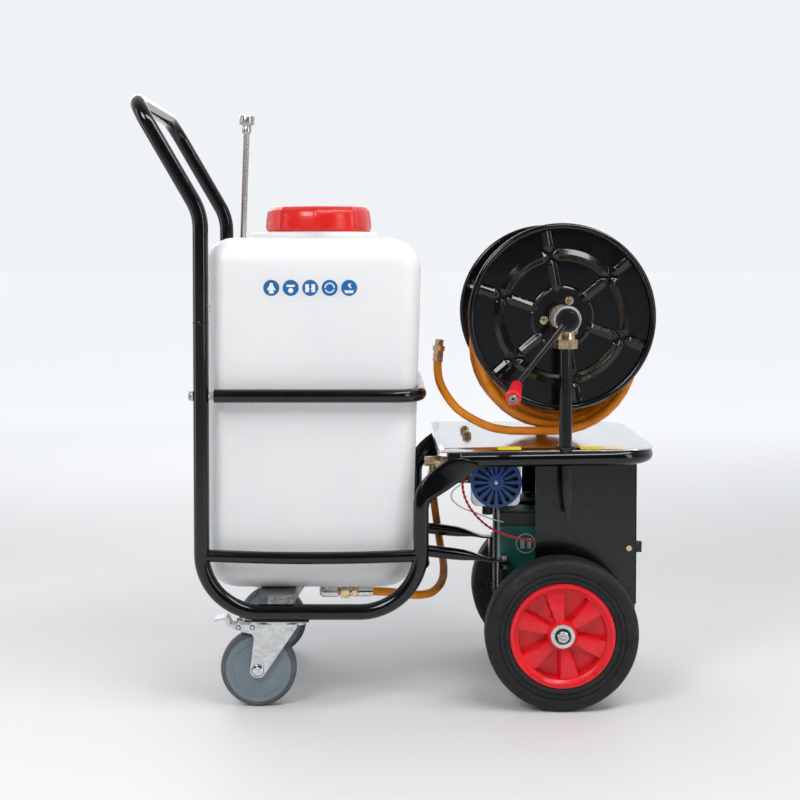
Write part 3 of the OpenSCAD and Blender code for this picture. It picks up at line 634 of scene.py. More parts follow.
# ---- leads
def twisted_pair(name, points, wire_r, lay=17, look=None, nodes=()):
    """Two leads laid round each other along a route."""
    line = spline(route(points), 10)
    dirs, lateral = frames_along(line)
    parts = []
    for phase in (0, math.pi):
        run, travel = [], 0.0
        for i, p in enumerate(line):
            if i:
                travel += (p - line[i - 1]).length
            a = phase + travel / (lay * MM) * 2 * math.pi
            s, t = lateral[i], dirs[i].cross(lateral[i])
            run.append(p + (s * math.cos(a) + t * math.sin(a)) * wire_r)
        parts.append(tube_mesh(run, wire_r, 10))
    piece(name, join(*parts), "wire_plastic", nodes=nodes, look=look)


RED_ROUTE = [[146, -92, 372], [136, -104, 358], [139, -112, 336], [152, -114, 312],
             [176, -114, 288], [205, -114, 273], [235, -114, 265], [262, -114, 261], [290, -112, 262]]
WHITE_ROUTE = [[146, -84, 360], [122, -90, 345], [118, -94, 330], [134, -96, 316],
               [160, -98, 306], [186, -98, 296], [205, -92, 290]]
twisted_pair("red_leads", RED_ROUTE, 1.2 * MM, nodes=["wiring"])
twisted_pair("white_leads", WHITE_ROUTE, 0.8 * MM, 10, WIRE_WHITE)


# ---- tank
TANK_X0, TANK_X1, TANK_HALF, TANK_Z0, TANK_Z1 = -286, 64, 190, 194, 770
TANK_FOOT_X = 50
GROOVE_R = HOOP_R + 0.9


def edge_inset(z, low_r, high_r):
    """How far a rounded bottom or top edge pulls the wall in at height z."""
    if z < TANK_Z0 + low_r:
        d = TANK_Z0 + low_r - z
        return low_r - math.sqrt(max(0.0, low_r ** 2 - d ** 2))
    if z > TANK_Z1 - high_r:
        d = z - (TANK_Z1 - high_r)
        return high_r - math.sqrt(max(0.0, high_r ** 2 - d ** 2))
    return 0.0


def hoop_push(x, y, z):
    """Presses the wall in where the hoop lies against it."""
    dz = abs(z - HOOP_Z)
    if dz >= GROOVE_R:
        return x, y
    hub = (HOOP_X - HOOP_BEND, math.copysign(FRAME_Y - HOOP_BEND, y))
    reach = math.sqrt(GROOVE_R ** 2 - dz ** 2)
    if x > hub[0] and abs(y) > abs(hub[1]):
        dx, dy = x - hub[0], y - hub[1]
        far = math.hypot(dx, dy)
        limit = HOOP_BEND - reach
        if far > limit:
            return hub[0] + dx * limit / far, hub[1] + dy * limit / far
    elif abs(y) <= abs(hub[1]):
        return min(x, HOOP_X - reach), y
    return x, y


def tank_ring(z, shrink=0.0, count=14):
    """One level of the tank: a rounded rectangle, inset by its rounded edges."""
    rise = min(1.0, max(0.0, (z - 240) / (718 - 240)))
    lean = (TANK_X1 - TANK_FOOT_X) * (1 - rise)
    x0 = TANK_X0 + edge_inset(z, 44, 40) + shrink
    x1 = TANK_X1 - lean - edge_inset(z, 46, 54) - shrink
    y = TANK_HALF - edge_inset(z, 40, 42) - shrink
    r = max(4, 33 - (TANK_HALF - y) * 0.35)
    corners = [(x1 - r, -y + r, 270), (x1 - r, y - r, 0), (x0 + r, y - r, 90), (x0 + r, -y + r, 180)]
    outline = []
    for index, (cx, cy, a0) in enumerate(corners):
        bend = arc(cx, cy, r, a0, a0 + 90, count)
        outline += bend
        nxt = corners[(index + 1) % 4]
        goal = arc(nxt[0], nxt[1], r, nxt[2], nxt[2] + 90, 1)[0]
        for k in range(1, 12):
            t = k / 12
            outline.append((bend[-1][0] * (1 - t) + goal[0] * t, bend[-1][1] * (1 - t) + goal[1] * t))
    return [at(*hoop_push(x, yy, z), z) for x, yy in outline]


def build_tank():
    levels = [TANK_Z0 + 44 * (1 - math.cos(math.radians(a))) for a in range(0, 91, 9)]
    levels += [TANK_Z0 + 44 + k * (HOOP_Z - 14 - TANK_Z0 - 44) / 14 for k in range(1, 15)]
    levels += [HOOP_Z + d for d in range(-13, 14, 1)]
    levels += [HOOP_Z + 14 + k * (TANK_Z1 - 54 - HOOP_Z - 14) / 11 for k in range(12)]
    levels += [TANK_Z1 - 54 + 54 * math.sin(math.radians(a)) for a in range(7, 91, 7)] + [TANK_Z1]
    rings = [tank_ring(TANK_Z0, 12)] + [tank_ring(z) for z in levels] + [tank_ring(TANK_Z1, 14)]
    shell = ([v for ring in rings for v in ring], ring_faces(len(rings), len(rings[0])))
    collar = [(60, -4), (112, -4), (108, 0.6), (104.5, 3), (103, 8), (100.5, 10.6), (84, 11), (83, 13),
              (83, 20), (81, 22), (81, 41.5), (79.5, 42), (76, 42), (76, -4)]
    step = [(60, -4), (112, -4), (108.5, 0.8), (106, 3.5), (104, 7.5), (101, 9.4), (60, 9.6)]
    neck = lathe(collar, at(LID_X, 0, TANK_Z1), UP, 128)
    shoulder = lathe(step, at(LID_X - 16, 0, TANK_Z1), UP, 128)
    piece("tank_shell", join(shell, neck, shoulder), "tank_plastic", nodes=["tank"], sharp=50)


build_tank()


# ---- lid
def build_lid():
    """Screw lid with a sloping side, a bevelled top edge and spaced grip ribs."""
    hub = at(LID_X, 0, 781)
    rib_count, steps = 8, 192
    profile = [(84, 0), (88.8, 0), (89.8, 1.2), (89.8, 8), (88.4, 24), (86.6, 34.6), (84.6, 37.4),
               (79.6, 42.2), (76, 43), (70, 42.6), (66, 40.6), (30, 40.2), (0.4, 40.2), (0.4, 37),
               (80, 36.6), (84, 34)]
    verts = []
    for i in range(steps):
        a = 2 * math.pi * i / steps
        phase = (i * rib_count / steps + 0.5) % 1.0 - 0.5
        rib = 2.4 * math.exp(-(phase * 42) ** 2 / 8)
        for k, (r, h) in enumerate(profile):
            out = r - 0.6 + (rib if 3 <= k <= 8 else 0)
            verts.append(hub + Vector((out * math.cos(a), out * math.sin(a), h)) * MM)
    n = len(profile)
    faces = []
    for i in range(steps):
        a, b = i * n, ((i + 1) % steps) * n
        faces += [(a + j, b + j, b + (j + 1) % n, a + (j + 1) % n) for j in range(n)]
    piece("screw_lid", (verts, faces), "lid_plastic", "lid", ["lid"], sharp=60)


build_lid()


# ---- safety discs
DISC_X, DISC_Z, DISC_STEP = -179, 689, 31.5


def circle(r, n=48, cx=0, cy=0):
    turn = 2 * math.pi / n
    return [(cx + r * math.cos(turn * i), cy + r * math.sin(turn * i)) for i in range(n)]


def ring_part(a0, a1, n):
    """A thin arc-shaped stroke."""
    return arc(0, 0, 8.4, a0, a1, n) + arc(0, 0, 6.4, a1, a0, n)


def sticker(name, outline, x, proud, look):
    """A thin flat shape on the tank's near face."""
    def put(u, v, w):
        return at(x + u, TANK_FACE_Y - proud + w, DISC_Z + v)
    piece(name, prism(outline, put, 0.25), "tank_plastic", look=look)


SLEEVED = [(-2.2, 8), (2.2, 8), (3, 4), (7, -3), (5, -5), (3, -2), (4, -9), (-4, -9), (-3, -2), (-5, -5),
           (-7, -3), (-3, 4)]
LEFT_HAND = [(-8, 6), (-2, 6), (-2, 0), (-0.8, -1), (-2, -3), (-2, -7), (-8, -7)]
TAP = [(-1, 7), (3, 7), (3, 5), (1, 5), (4, 0), (2, -1), (-2, 4)]
DISC_SIGNS = {
    "apron": [SLEEVED],
    "mask": [[(-7, 5), (7, 5), (6.4, 1.5), (-6.4, 1.5)], circle(4.2, 20, 0, -4.2)],
    "gloves": [LEFT_HAND, [(-u, v) for u, v in LEFT_HAND]],
    "visor": [ring_part(0, 180, 14), ring_part(200, 340, 12)],
    "wash": [[(-8, -4), (8, -4), (6, -8.6), (-6, -8.6)], TAP],
}
for number, (sign, shapes) in enumerate(DISC_SIGNS.items()):
    disc_x = DISC_X + DISC_STEP * number
    sticker("disc_" + sign, circle(13), disc_x, 0.1, DISC_BLUE)
    for index, shape in enumerate(shapes):
        sticker(f"sign_{sign}_{index}", shape, disc_x, 0.35, DISC_WHITE)


# ---- frame tubes
def blade_mesh(y):
    """A front upright's end: round tube that bends forward while it is pressed flat."""
    # each station: rear edge x and z, front edge x and z, half the thickness
    stations = [(50.3, 334, 75.7, 334, 12.7), (50.5, 343, 76.8, 341, 12.4), (52, 354, 82, 348, 11),
                (56, 364, 92, 354, 8.6), (62, 375, 105, 362, 5.6), (71, 386, 119, 372, 3.4),
                (83, 397, 131, 380.5, 2.4), (98, 408, 142, 388, 2.2), (114, 414, 150, 394, 2.2),
                (128, 415.5, 155, 398.5, 2.2), (141, 412.5, 156.6, 401.5, 2.2), (149, 408.5, 156.2, 404, 1.8)]
    sides = 28
    verts = []
    for x0, z0, x1, z1, half_t in stations:
        for j in range(sides):
            c, s = squarish(j, sides, 1 if half_t > 10 else 0.7)
            x, z = (x0 + x1) / 2 + (x1 - x0) / 2 * c, (z0 + z1) / 2 + (z1 - z0) / 2 * c
            verts.append(at(x, y + s * half_t, z))
    return verts, ring_faces(len(stations), sides)


def brace_mesh(y):
    """A brace: round at the cross tube, pressed flat where it is bolted on."""
    # each station: x, z, half width, half thickness
    stations = [(CROSS_X + 6, 244.5, 10, 10), (120, 239, 10, 10), (138, 237, 10.6, 9.2),
                (152, 235.2, 12, 6.8), (164, 233, 13.2, 4.4), (174, 230.6, 13.8, 2.9), (182, 228.6, 14, 2.1),
                (190, 228, 14, 2), (206, 228, 14, 2), (BRACE_TIP_X, 228, 12.6, 2)]
    sides = 28
    verts = []
    for x, z, half_w, half_t in stations:
        for j in range(sides):
            c, s = squarish(j, sides, 1 if half_t > 8 else 0.7)
            verts.append(at(x, y + c * half_w, z + s * half_t))
    return verts, ring_faces(len(stations), sides)


JOINT_Z = 633
for side, end in SIDES:
    y = side * FRAME_Y
    corners = [(REAR_X, y, JOINT_Z), (REAR_X, y, LOW_Z), (FRONT_X, y, LOW_Z), (FRONT_X, y, 336)]
    run = bent_line(corners, [95, 100])
    piece("side_tube_" + end, join(tube_mesh(run, TUBE_R, 32), blade_mesh(y)), "frame_paint",
          nodes=["side_frame_" + end], sharp=50)
    sleeve = [at(REAR_X, y, JOINT_Z + dz) for dz in (-2.4, -1.6, 1.8, 2.6)]
    swell = [TUBE_R, TUBE_R * 1.03, TUBE_R * 1.03, TUBE_R]
    piece("joint_line_" + end, tube_mesh(sleeve, swell, 32), "frame_paint")

BRACE_Y, CROSS_X, BRACE_TIP_X = 106, 67, 212
for side, end in SIDES:
    piece("brace_" + end, brace_mesh(side * BRACE_Y), "frame_paint", nodes=near_only(side, "braces"),
          sharp=50)

LEAN_Z, BAR_Z = 809, 990
BAR_X = REAR_X - (BAR_Z - LEAN_Z) * math.tan(math.radians(30))
handle_run = bent_line([(REAR_X, -FRAME_Y, 633.4), (REAR_X, -FRAME_Y, LEAN_Z), (BAR_X, -FRAME_Y, BAR_Z),
                        (BAR_X, FRAME_Y, BAR_Z), (REAR_X, FRAME_Y, LEAN_Z), (REAR_X, FRAME_Y, 633.4)],
                       [90, 45, 45, 90])
piece("push_bar", tube_mesh(handle_run, TUBE_R, 32), "frame_paint", nodes=["push_handle"])

hoop_run = bent_line([(-270, -FRAME_Y, HOOP_Z), (HOOP_X, -FRAME_Y, HOOP_Z), (HOOP_X, FRAME_Y, HOOP_Z),
                      (-270, FRAME_Y, HOOP_Z)], [HOOP_BEND, HOOP_BEND])
piece("tank_hoop", tube_mesh(hoop_run, HOOP_R * MM, 28), "frame_paint", nodes=["upper_hoop"])

RAIL_Y, RAIL_X0, RAIL_X1, RAIL_Z0, RAIL_Z1 = 196, 128, 436, 410.5, 414.9
rail_run = bent_line([(RAIL_X0, -RAIL_Y, RAIL_Z0), (RAIL_X1, -RAIL_Y, RAIL_Z1), (RAIL_X1, RAIL_Y, RAIL_Z1),
                      (RAIL_X0, RAIL_Y, RAIL_Z0)], [60, 60])
piece("rail_tube", tube_mesh(rail_run, TUBE_R, 32), "frame_paint", nodes=["deck_rail"])

# the bars low on both sides sag a little between the uprights
bar_low, bar_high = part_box("lower_bar_near")
for side, end in SIDES:
    bar_line = []
    for k in range(25):
        t = k / 24
        sag = 1 - (2 * t - 1) ** 2
        p = at(REAR_X + 6 + (FRONT_X - REAR_X - 12) * t, side * (FRAME_Y + 3 * sag), 0)
        p.z = (bar_low.z + bar_high.z) / 2 - 3.5 * sag * MM
        bar_line.append(p)
    piece("low_side_bar_" + end, tube_mesh(bar_line, (bar_high.z - bar_low.z) / 2, 24), "frame_paint",
          nodes=["lower_bar_" + end])


# ---- deck
DECK_X0, DECK_X1, DECK_Y, DECK_R = 91, 446, 201, 50


def deck_z(x, y):
    """Top of the sheet: flat in the middle, rolled down where it lies over the rail."""
    d = min(DECK_Y - abs(y), DECK_X1 - x)
    if x > DECK_X1 - DECK_R and abs(y) > DECK_Y - DECK_R:
        d = DECK_R - math.hypot(x - DECK_X1 + DECK_R, abs(y) - DECK_Y + DECK_R)
    t = min(1.0, max(0.0, 1 - d / 20))
    drop = 5.9 - 4.2 * min(1, max(0, (x - RAIL_X0) / (RAIL_X1 - RAIL_X0)))
    return DECK_TOP - drop * t ** 1.9


def deck_outline(inset):
    front, back = max(2, DECK_R - inset), max(1.5, 5 - inset)
    x0, x1, y = DECK_X0 + inset, DECK_X1 - inset, DECK_Y - inset
    return (arc(x1 - front, -y + front, front, 270, 360, 16) + arc(x1 - front, y - front, front, 0, 90, 16)
            + arc(x0 + back, y - back, back, 90, 180, 4) + arc(x0 + back, -y + back, back, 180, 270, 4))


def deck_mesh():
    """The sheet's top: rings from the edge inwards, then one flat face."""
    rings = [deck_outline(d) for d in (0, 1.5, 3, 5, 7, 9, 11, 13, 15, 17, 19, 21, 24, 60)]
    verts = [at(x, y, deck_z(x, y)) for ring in rings for x, y in ring]
    n = len(rings[0])
    faces = []
    for i in range(len(rings) - 1):
        a, b = i * n, (i + 1) * n
        faces += [(a + j, a + (j + 1) % n, b + (j + 1) % n, b + j) for j in range(n)]
    faces.append(tuple((len(rings) - 1) * n + j for j in range(n)))
    return verts, faces


make_sheet(piece("deck_sheet", deck_mesh(), "stainless", nodes=["deck_plate"], sharp=60), 1.5)
lip = [(DECK_X0, 416), (DECK_X0 + 1.5, 416), (DECK_X0 + 1.5, 428.6), (DECK_X0, 428.6)]
piece("deck_lip", prism(lip, lambda u, v, w: at(u, w, v), 372), "stainless")
foot = [(10.7, 421), (13, 421), (15, 427), (16, 429.3), (16, 431.4), (15, 432), (10.7, 432)]
for side, end in SIDES:
    turned("post_foot_" + end, foot, at(REEL[0], side * POST_Y, 0), UP, "frame_paint")
grommet = [(3, 428.6), (6.4, 428.6), (6.8, 430), (5.6, 431), (3, 430.6)]
turned("deck_grommet", grommet, at(305, -160, 0), UP, "seal_rubber", look=DARK_PARTS_AND_SHADE)


# ---- reel
RIDGE_AT = 40.7
RING_SHARE, INNER_SHARE, BEND_R = 0.665, 0.315, 3.8


def flange_height(r, angle):
    """Relief of a pressed flange: outer and inner ring ridges and six radial ridges."""
    share = r / FLANGE_R
    off = (math.degrees(angle) - RIDGE_AT + 30) % 60 - 30
    side_step = abs(math.radians(off)) * r
    ring_half = 0.058 * min(1.0, max(0.0, (side_step - 3) / 9))
    ring = max(0.0, ring_half - abs(share - RING_SHARE)) * 97
    inner_half = 0.020 * min(1.0, max(0.0, (side_step - 6) / 5))
    inner = max(0.0, inner_half - abs(share - INNER_SHARE)) * 97
    reach = min(max(0.0, share - 0.27), max(0.0, 0.985 - share), max(0.0, abs(share - RING_SHARE) - 0.035))
    radial_half = min(7.6, reach * 125)
    radial = max(0.0, radial_half - side_step) * 0.62
    return max(ring, inner, radial)


def build_flange(side):
    """One flange with its folded edge."""
    radii = [21 + k * (FLANGE_R - 5 - 21) / 92 for k in range(93)]
    edge = [(FLANGE_R - 5.4 + BEND_R * math.sin(math.radians(a)), BEND_R - BEND_R * math.cos(math.radians(a)))
            for a in range(20, 271, 25)]

    def ray(a):
        line = [(r, flange_height(r, a)) for r in radii] + edge
        return [at(REEL[0] + r * math.cos(a), side * (FLANGE_Y + 0.8 + h), REEL[2] + r * math.sin(a))
                for r, h in line]
    return relief_mesh(360, ray, side)


bolt_cap = [(0.2, 0), (7, 0), (7, 1.2), (5.2, 1.6), (5.2, 4.6), (4.4, 5.6), (2.4, 5.8), (2.2, 4.6),
            (0.2, 4.6)]
for side, end in SIDES:
    flange = piece("reel_flange_" + end, build_flange(side), "reel_paint", "reel",
                   near_only(side, "reel_spool"), sharp=28)
    make_sheet(flange, 1.3)
    for index, deg in enumerate((66, 190, 310)):
        a = math.radians(deg)
        hub = at(REEL[0] + 30 * math.cos(a), side * (FLANGE_Y + 1), REEL[2] + 30 * math.sin(a))
        turned(f"flange_bolt_{end}_{index}", bolt_cap, hub, (0, side, 0), "brass", "reel", count=24)

drum = [(49, -FLANGE_Y), (49, FLANGE_Y), (46, FLANGE_Y), (46, -FLANGE_Y)]
turned("drum_tube", drum, at(*REEL), (0, 1, 0), "reel_paint", "reel", count=72)


# ---- front wheels
WHEEL_Y = 184


def tyre_profile():
    h = 28
    groove = []
    for r in (95, 103):
        groove += [(r - 1.6, 0), (r - 1.0, -1.5), (r + 1.0, -1.5), (r + 1.6, 0)]
    face = [(86, -3), (88, -1)] + groove + [(110, 0), (111, 0.4), (117, -0.8)]
    outer = [(r, h + d) for r, d in face] + [(121.5, h - 3.4), (124.2, h - 7.5), (125, h - 12)]
    tread = [(125, 9.5), (123.2, 9), (123.2, 7), (125, 6.5)]
    return mirrored(outer + tread)


def rim_height(r, angle):
    """Six spokes that stand proud of a recessed web and run into the hub."""
    off = (math.degrees(angle) - 40 + 30) % 60 - 30
    half = 7.5 + (r - 20) * 0.17
    step = abs(math.radians(off)) * r
    spoke = min(1.0, max(0.0, (half + 1.2 - step) / 2.4))
    crown = 1.2 * max(0.0, 1 - (step / half) ** 2)
    hub_mix = min(1.0, max(0.0, (26 - r) / 4))
    proud = 17 + 4 * (1 - abs(r - 46) / 30)
    return max(-5, spoke * (proud + crown), hub_mix * 25)


def build_rim(side):
    """Band, hub, backing disc and the relief of the spokes."""
    radii = [19.5, 22, 25, 28, 32, 38, 45, 52, 58, 63, 67, 70, 72.5]

    def ray(a):
        return [at(AXLE_X + r * math.cos(a), side * (WHEEL_Y + rim_height(r, a)), WHEEL_R + r * math.sin(a))
                for r in radii]
    hub = at(AXLE_X, side * WHEEL_Y, WHEEL_R)
    axis = (0, side, 0)
    band = [(71, -26), (84, -26), (86, -24.5), (86, 25), (84.8, 27.4), (82, 28), (79, 27), (77, 24), (73, 21),
            (71.5, 14)]
    core = [(8.3, -25), (22, -25), (24, -20), (24, 20), (22, 25), (19, 25.3), (19, 23), (8.3, 23)]
    back = [(20, -8), (73, -8), (73, -5.5), (20, -5.5)]
    return join(relief_mesh(360, ray, side), lathe(band, hub, axis, 128), lathe(core, hub, axis, 64),
                lathe(back, hub, axis, 96))


hub_washer = [(8.2, 25.5), (19, 25.5), (19.4, 26.2), (19.2, 27.2), (13.6, 27.5), (13, 26.6), (8.2, 26.6)]
axle_tip = [(0.1, 31), (7.4, 31), (7.4, 35), (6.4, 36), (2, 36), (1.6, 35.2), (0.1, 35.2)]
for side, end in SIDES:
    hub = at(AXLE_X, side * WHEEL_Y, WHEEL_R)
    axis = (0, side, 0)
    turned("solid_tyre_" + end, tyre_profile(), hub, axis, "tyre_rubber", "wheel_" + end, ["tyre_" + end],
           count=160, sharp=40)
    piece("spoked_rim_" + end, build_rim(side), "red_plastic", "wheel_" + end, ["rim_" + end], sharp=30)
    turned("hub_washer_" + end, hub_washer, hub, axis, "zinc", nodes=near_only(side, "axle_nuts"))
    # a dark disc round the nut, in the washer's recess, is painted shade
    turned("painted_hub_shade_" + end, disc(12.8, 26.4, 26.9), hub, axis, "zinc", look=DARK_PARTS_AND_SHADE)
    turned("hub_nut_" + end, nut(17, 26.9, 32.4), hub, axis, "zinc", count=6)
    turned("axle_end_" + end, axle_tip, hub, axis, "zinc", count=40)
    turned("inner_spacer_" + end, disc(14, -30, -27.6, 8.2), hub, axis, "zinc")


# ---- casters
CASTER_X, CASTER_Y, CASTER_R, FORK_FACE = -203, 162, 62.5, 22.05
caster_tread = [(53.5, 13.2), (54.5, 14.4), (57.5, 14), (60.6, 12.2), (62.1, 9), (62.5, 5)]
caster_hub = [(5.2, 17), (13, 17), (14.5, 15.8), (15.5, 11.5), (22, 10.6), (38, 10.8), (41, 11.4), (42, 13.2),
              (44.5, 13.6), (46, 12.2), (50, 12.0), (52, 13.4), (53.8, 13.6)]
washer = [(3, 22.4), (8.6, 22.4), (8.8, 23), (8, 23.6), (3, 23.8)]
rivet_head = [(0.1, 22.3), (2.9, 22.3), (2.4, 23.6), (0.1, 24)]
for side, end in SIDES:
    hub = at(CASTER_X, side * CASTER_Y, CASTER_R)
    wheel, fork = "caster_wheel_" + end, "caster_" + end
    axis = (0, side, 0)
    turned("caster_tread_" + end, mirrored(caster_tread), hub, axis, "tyre_rubber", wheel, look=CASTER_TREAD,
           count=120)
    turned("caster_hub_" + end, mirrored(caster_hub), hub, axis, "caster_plastic", wheel, [wheel], count=120,
           sharp=40)
    for face in (-1, 1):
        axis, tag = (0, face, 0), f"{end}_{face + 1}"
        turned("fork_shadow_" + tag, disc(10, FORK_FACE, 22.4), hub, axis, "zinc", fork, look=DARK_PARTS_AND_SHADE)
        turned("fork_washer_" + tag, washer, hub, axis, "zinc", fork, look=CHROME)
        turned("fork_nut_" + tag, nut(10, 23.6, 26.4), hub, axis, "zinc", fork, look=NUT_STEEL, count=6)
        for index, x in enumerate((-235, -212)):
            rivet = at(x, side * CASTER_Y, 133)
            # dark rings round the rivet heads are painted shade
            turned(f"rivet_shade_ring_{tag}_{index}", disc(4.1, FORK_FACE, 22.3), rivet, axis, "zinc", fork,
                   look=DARK_PARTS_AND_SHADE, count=32)
            turned(f"rivet_{tag}_{index}", rivet_head, rivet, axis, "zinc", fork, count=32)


# ---- fan cover and battery trim
FAN = at(192, -99.2, 360)
FAN_R = 43


def build_fan_cover():
    """Domed guard with sixteen slots between radial bars."""
    turns, slots = 320, 16
    radii = [0.5, 5, 9, 12, 13.5, 15, 20, 26, 32, 36, 37.5, 39, 41, 42.5, FAN_R]
    verts, faces = [], []
    for i in range(turns):
        a = 2 * math.pi * i / turns
        for r in radii:
            h = 11.6 - 2.6 * (r / FAN_R) ** 2.4 - (1.4 if r > 42.7 else 0)
            verts.append(FAN + Vector((r * math.cos(a), -h, r * math.sin(a))) * MM)
    n = len(radii)
    for i in range(turns):
        phase = (i + 0.5) * slots / turns % 1.0
        for j in range(n - 1):
            in_slot = abs(phase - 0.5) < 0.17 + 0.1 * (radii[j] / FAN_R)
            if not (13 <= radii[j] and radii[j + 1] <= 38 and in_slot):
                p, q = i * n, ((i + 1) % turns) * n
                faces.append((p + j, p + j + 1, q + j + 1, q + j))
    return verts, faces


make_sheet(piece("slotted_fan_cover", build_fan_cover(), "blue_plastic", nodes=["fan_cover"]), 2.2)
skirt = [(43, -0.5), (43.2, 8.4), (41, 8.8), (40.8, -0.5)]
turned("fan_cover_skirt", skirt, FAN, NEARWARD, "blue_plastic", count=96)
screw = [(0.2, 0), (3.6, 0), (3.8, 1.4), (2.6, 2.6), (0.2, 2.8)]
turned("fan_cover_screw", screw, at(192, -110.6, 360), NEARWARD, "zinc", count=24)


def put_on_battery(u, v, w):
    return at(243.5 + u, -90.9 + w, 253.5 + v)


emblem = put_on_battery(0, 0, 0)
turned("battery_ring", disc(17, -0.1, 0.3, 15), emblem, NEARWARD, "battery_plastic", look=EMBLEM_GREY)
for index, (low, high) in enumerate(((-9, -2.5), (2.5, 9))):
    bar = [(low, -9), (high, -9), (high, 9), (low, 9)]
    piece(f"battery_mark_{index}", prism(bar, put_on_battery, 0.4), "battery_plastic", look=EMBLEM_GREY)
bell = [p for x, z, a in ((222, 390, 0), (162, 390, 90), (162, 330, 180), (222, 330, 270))
        for p in arc(x, z, 12, a, a + 90)]
piece("motor_end_bell", prism(bell, lambda u, v, w: at(u, -94.5 + w, v), 8), "zinc", look=BELL_METAL,
      bevel=1.2)
cap = [(199.4, -91.1), (277.6, -91.1), (277.6, 91.1), (199.4, 91.1)]
piece("battery_lid", prism(cap, lambda u, v, w: at(u, v, 295 + w), 26), "battery_plastic", look=BATTERY_BLACK,
      bevel=3)


# ---- outlet and pump fittings
OUTLET = at(0, -122, 179)
PUMP_PORT = at(93, 132, 0)
PORT_BAR = at(0, 132, 362)
ferrule = [(0.1, -39), (8.4, -39), (9.4, -38), (9.4, -35), (8.6, -33.6), (8.6, -28), (9, -27), (8.6, -26),
           (8.6, -17), (8, -15), (0.1, -15)]
elbow = barrel(9.6, -104, -69, 4.5)
turned("outlet_elbow", elbow, OUTLET, ALONG, "brass", nodes=["outlet_fittings"], look=BELL_METAL)
turned("outlet_neck", barrel(8.4, 0, 20), at(-96, -122, 179), UP, "brass", look=BELL_METAL)
turned("outlet_hex_large", nut(23, -69, -54), OUTLET, ALONG, "brass", count=6)
turned("outlet_stem", barrel(8.2, -54, -38), OUTLET, ALONG, "brass")
turned("outlet_hex_small", nut(18, -49, -41), OUTLET, ALONG, "brass", count=6)
turned("outlet_ferrule", ferrule, OUTLET, ALONG, "brass", look=CHROME)
turned("pump_ferrule", barrel(8.6, 300, 330), PUMP_PORT, UP, "brass", look=CHROME)
turned("pump_hex", nut(17, 330, 345), PUMP_PORT, UP, "brass", count=6)
turned("pump_stem", barrel(7, 344, 366), PUMP_PORT, UP, "brass")
turned("pump_port", barrel(9, 78, 119), PORT_BAR, ALONG, "brass")
turned("pump_port_hex", nut(19, 97, 108), PORT_BAR, ALONG, "brass", count=6)


# ---- reel hub, crank grip and bearings
sleeve = [(10.2, 174), (16, 174), (17, 175), (17, 206), (16, 207), (10.2, 207)]
neck = [(0.1, 605), (16.6, 605), (15.6, 607), (14.8, 612), (14.6, 620), (15, 627), (0.1, 630)]
for side, end in SIDES:
    post = at(REEL[0], side * POST_Y, 0)
    turned("bearing_sleeve_" + end, sleeve, at(*REEL), (0, side, 0), "brass",
           nodes=near_only(side, "reel_bearings"))
    turned("bearing_hex_" + end, nut(33, 590.8, 606), post, UP, "brass", count=6)
    turned("bearing_neck_" + end, neck, post, UP, "brass")
hub_ring = [(16.6, 207.4), (21, 207.4), (21.9, 208.4), (21.9, 212.6), (21, 213.7), (18.4, 213.7), (17, 213),
            (16.6, 212.6)]
turned("hub_ring", hub_ring, at(*REEL), NEARWARD, "zinc", "reel", look=CHROME, count=96)
turned("hub_disc", disc(17, 212.8, 213.2, 9), at(*REEL), NEARWARD, "zinc", "reel", look=DARK_PARTS_AND_SHADE)
CRANK_END, GRIP_DIR = at(216.1, -219, 534.2), (-0.15935, -0.96593, -0.20395)
hand = [(5.15, 5.6), (8.4, 5.6), (9.4, 7), (9.6, 10), (9.2, 14), (9.8, 24), (11, 42), (12, 58), (12.4, 68),
        (12.1, 72), (11, 74), (5.15, 74.2)]
turned("hand_grip", hand, CRANK_END, GRIP_DIR, "red_plastic", "grip", ["crank_grip"])
cap_ring = [(2.4, 73.8), (6.8, 73.8), (7.4, 75), (7.4, 78), (6.6, 79), (5.4, 79), (5, 75.4), (2.4, 75.2)]
turned("grip_cap", cap_ring, CRANK_END, GRIP_DIR, "red_plastic", "grip", look=NUT_STEEL)


# ---- lance
LANCE_Y = 231
LANCE_FOOT = at(-278, LANCE_Y, 330)
LANCE_DIR = Vector((24.4, 0, 673)).normalized()
STOCK_LEAN = math.radians(24)
BLACK_NYLON = MATS["black_plastic"]
pipe = [(0.1, 60), (6, 60), (6, 636), (6.6, 638), (8.6, 639), (9.2, 641), (9.2, 650), (8.4, 652), (9, 653),
        (13.6, 654), (14.4, 656), (14.4, 668), (13.4, 671), (9.6, 671.6), (9, 669), (0.1, 668.6)]
turned("lance_pipe", pipe, LANCE_FOOT, LANCE_DIR, "steel", "lance", ["lance"])
gun = [(0.1, 0), (9, 0), (10, 1.4), (9.4, 16), (9.8, 30), (9.8, 54), (9.2, 66), (7.6, 71), (6.1, 72),
       (0.1, 72)]
turned("lance_gun", gun, LANCE_FOOT, LANCE_DIR, "steel", "lance", look=BLACK_NYLON)
stock = [(0.1, -4), (8.4, -4), (9, -2), (8.2, 18), (8.8, 40), (8.4, 62), (9, 82), (8, 87), (0.1, 88)]
stock_dir = (math.sin(STOCK_LEAN), 0, -math.cos(STOCK_LEAN))
turned("lance_stock", stock, LANCE_FOOT, stock_dir, "steel", "lance", look=BLACK_NYLON)
cheek = [(-274, 351), (-262, 349.6), (-258, 353), (-258, 359), (-262, 362), (-274, 361)]
for index, y in enumerate((LANCE_Y - 6, LANCE_Y + 6)):
    plate = prism(cheek, lambda u, v, w: at(u, y + w, v), 2.4)
    piece(f"lance_cheek_{index}", plate, "steel", "lance", look=BLACK_NYLON)
pivot = at(-262, LANCE_Y, 356)
turned("lance_pivot", barrel(1.5, -7.4, 7.4, 0.3), pivot, (0, 1, 0), "steel", "lance", look=MATS["zinc"],
       count=24)


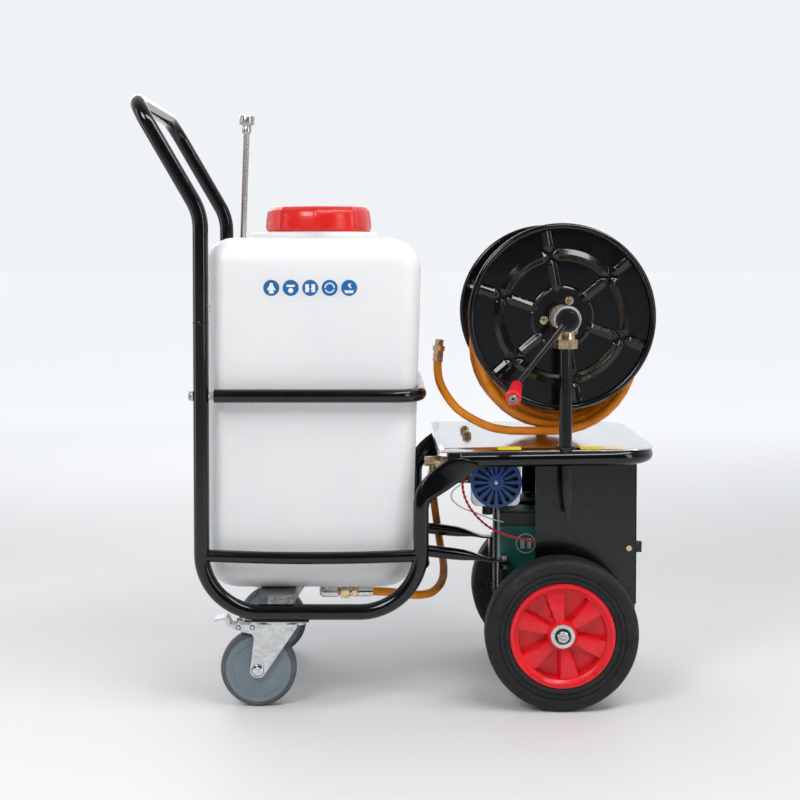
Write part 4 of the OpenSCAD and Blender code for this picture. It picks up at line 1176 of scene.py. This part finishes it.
# ---- deck labels
def deck_label(name, x0, x1, y0, y1, look):
    """A thin label that follows the sheet: two grids joined round their rim."""
    nx, ny = 7, 9
    verts = []
    for lift in (-0.3, 0.22):
        for i in range(nx):
            x = x0 + (x1 - x0) * i / (nx - 1)
            for j in range(ny):
                y = y0 + (y1 - y0) * j / (ny - 1)
                verts.append(at(x, y, deck_z(x, y) + lift))
    faces = [(i * ny + j, i * ny + j + 1, (i + 1) * ny + j + 1, (i + 1) * ny + j)
             for i in range(nx - 1) for j in range(ny - 1)]
    faces += [tuple(k + nx * ny for k in face[::-1]) for face in faces]
    rim = [i * ny for i in range(nx)] + [(nx - 1) * ny + j for j in range(1, ny)]
    rim += [i * ny + ny - 1 for i in range(nx - 2, -1, -1)] + list(range(ny - 2, 0, -1))
    faces += [(a, b, b + nx * ny, a + nx * ny) for a, b in zip(rim, rim[1:] + rim[:1])]
    piece(name, (verts, faces), "stainless", look=look, sharp=50)


deck_label("deck_label_a", 188, 226, -196, -176, LABEL_YELLOW)
deck_label("deck_label_b", 322, 358, -196, -172, LABEL_YELLOW)
deck_label("deck_label_c", 359, 404, -195, -166, LABEL_PALE)


# ---- floor
def floor_material():
    """Pale paper that turns into the bright backdrop behind the object."""
    made = Shader("studio_floor", 0.6)
    made.colour(made.noise(900, 3), shades((0.78, 0.785, 0.79), 0.012))
    split = made.node("ShaderNodeSeparateXYZ")
    fade = made.node("ShaderNodeMapRange")
    fade.interpolation_type = "SMOOTHSTEP"
    for key, value in (("From Min", 0.8), ("From Max", 4.2), ("To Min", 0.0), ("To Max", 0.50)):
        fade.inputs[key].default_value = value
    made.link(made.coords, split.inputs["Vector"])
    made.link(split.outputs["Y"], fade.inputs["Value"])
    made.link(fade.outputs["Result"], made.bsdf.inputs["Emission Strength"])
    made.bsdf.inputs["Emission Color"].default_value = (0.95, 0.97, 1.0, 1)
    return made.material


REACH = 40.0
floor_mesh = bpy.data.meshes.new("floor")
corners = [(-REACH, -REACH, 0), (REACH, -REACH, 0), (REACH, REACH, 0), (-REACH, REACH, 0)]
floor_mesh.from_pydata(corners, [], [(0, 1, 2, 3)])
floor_mesh.materials.append(floor_material())
floor = add(bpy.data.objects.new("floor", floor_mesh))
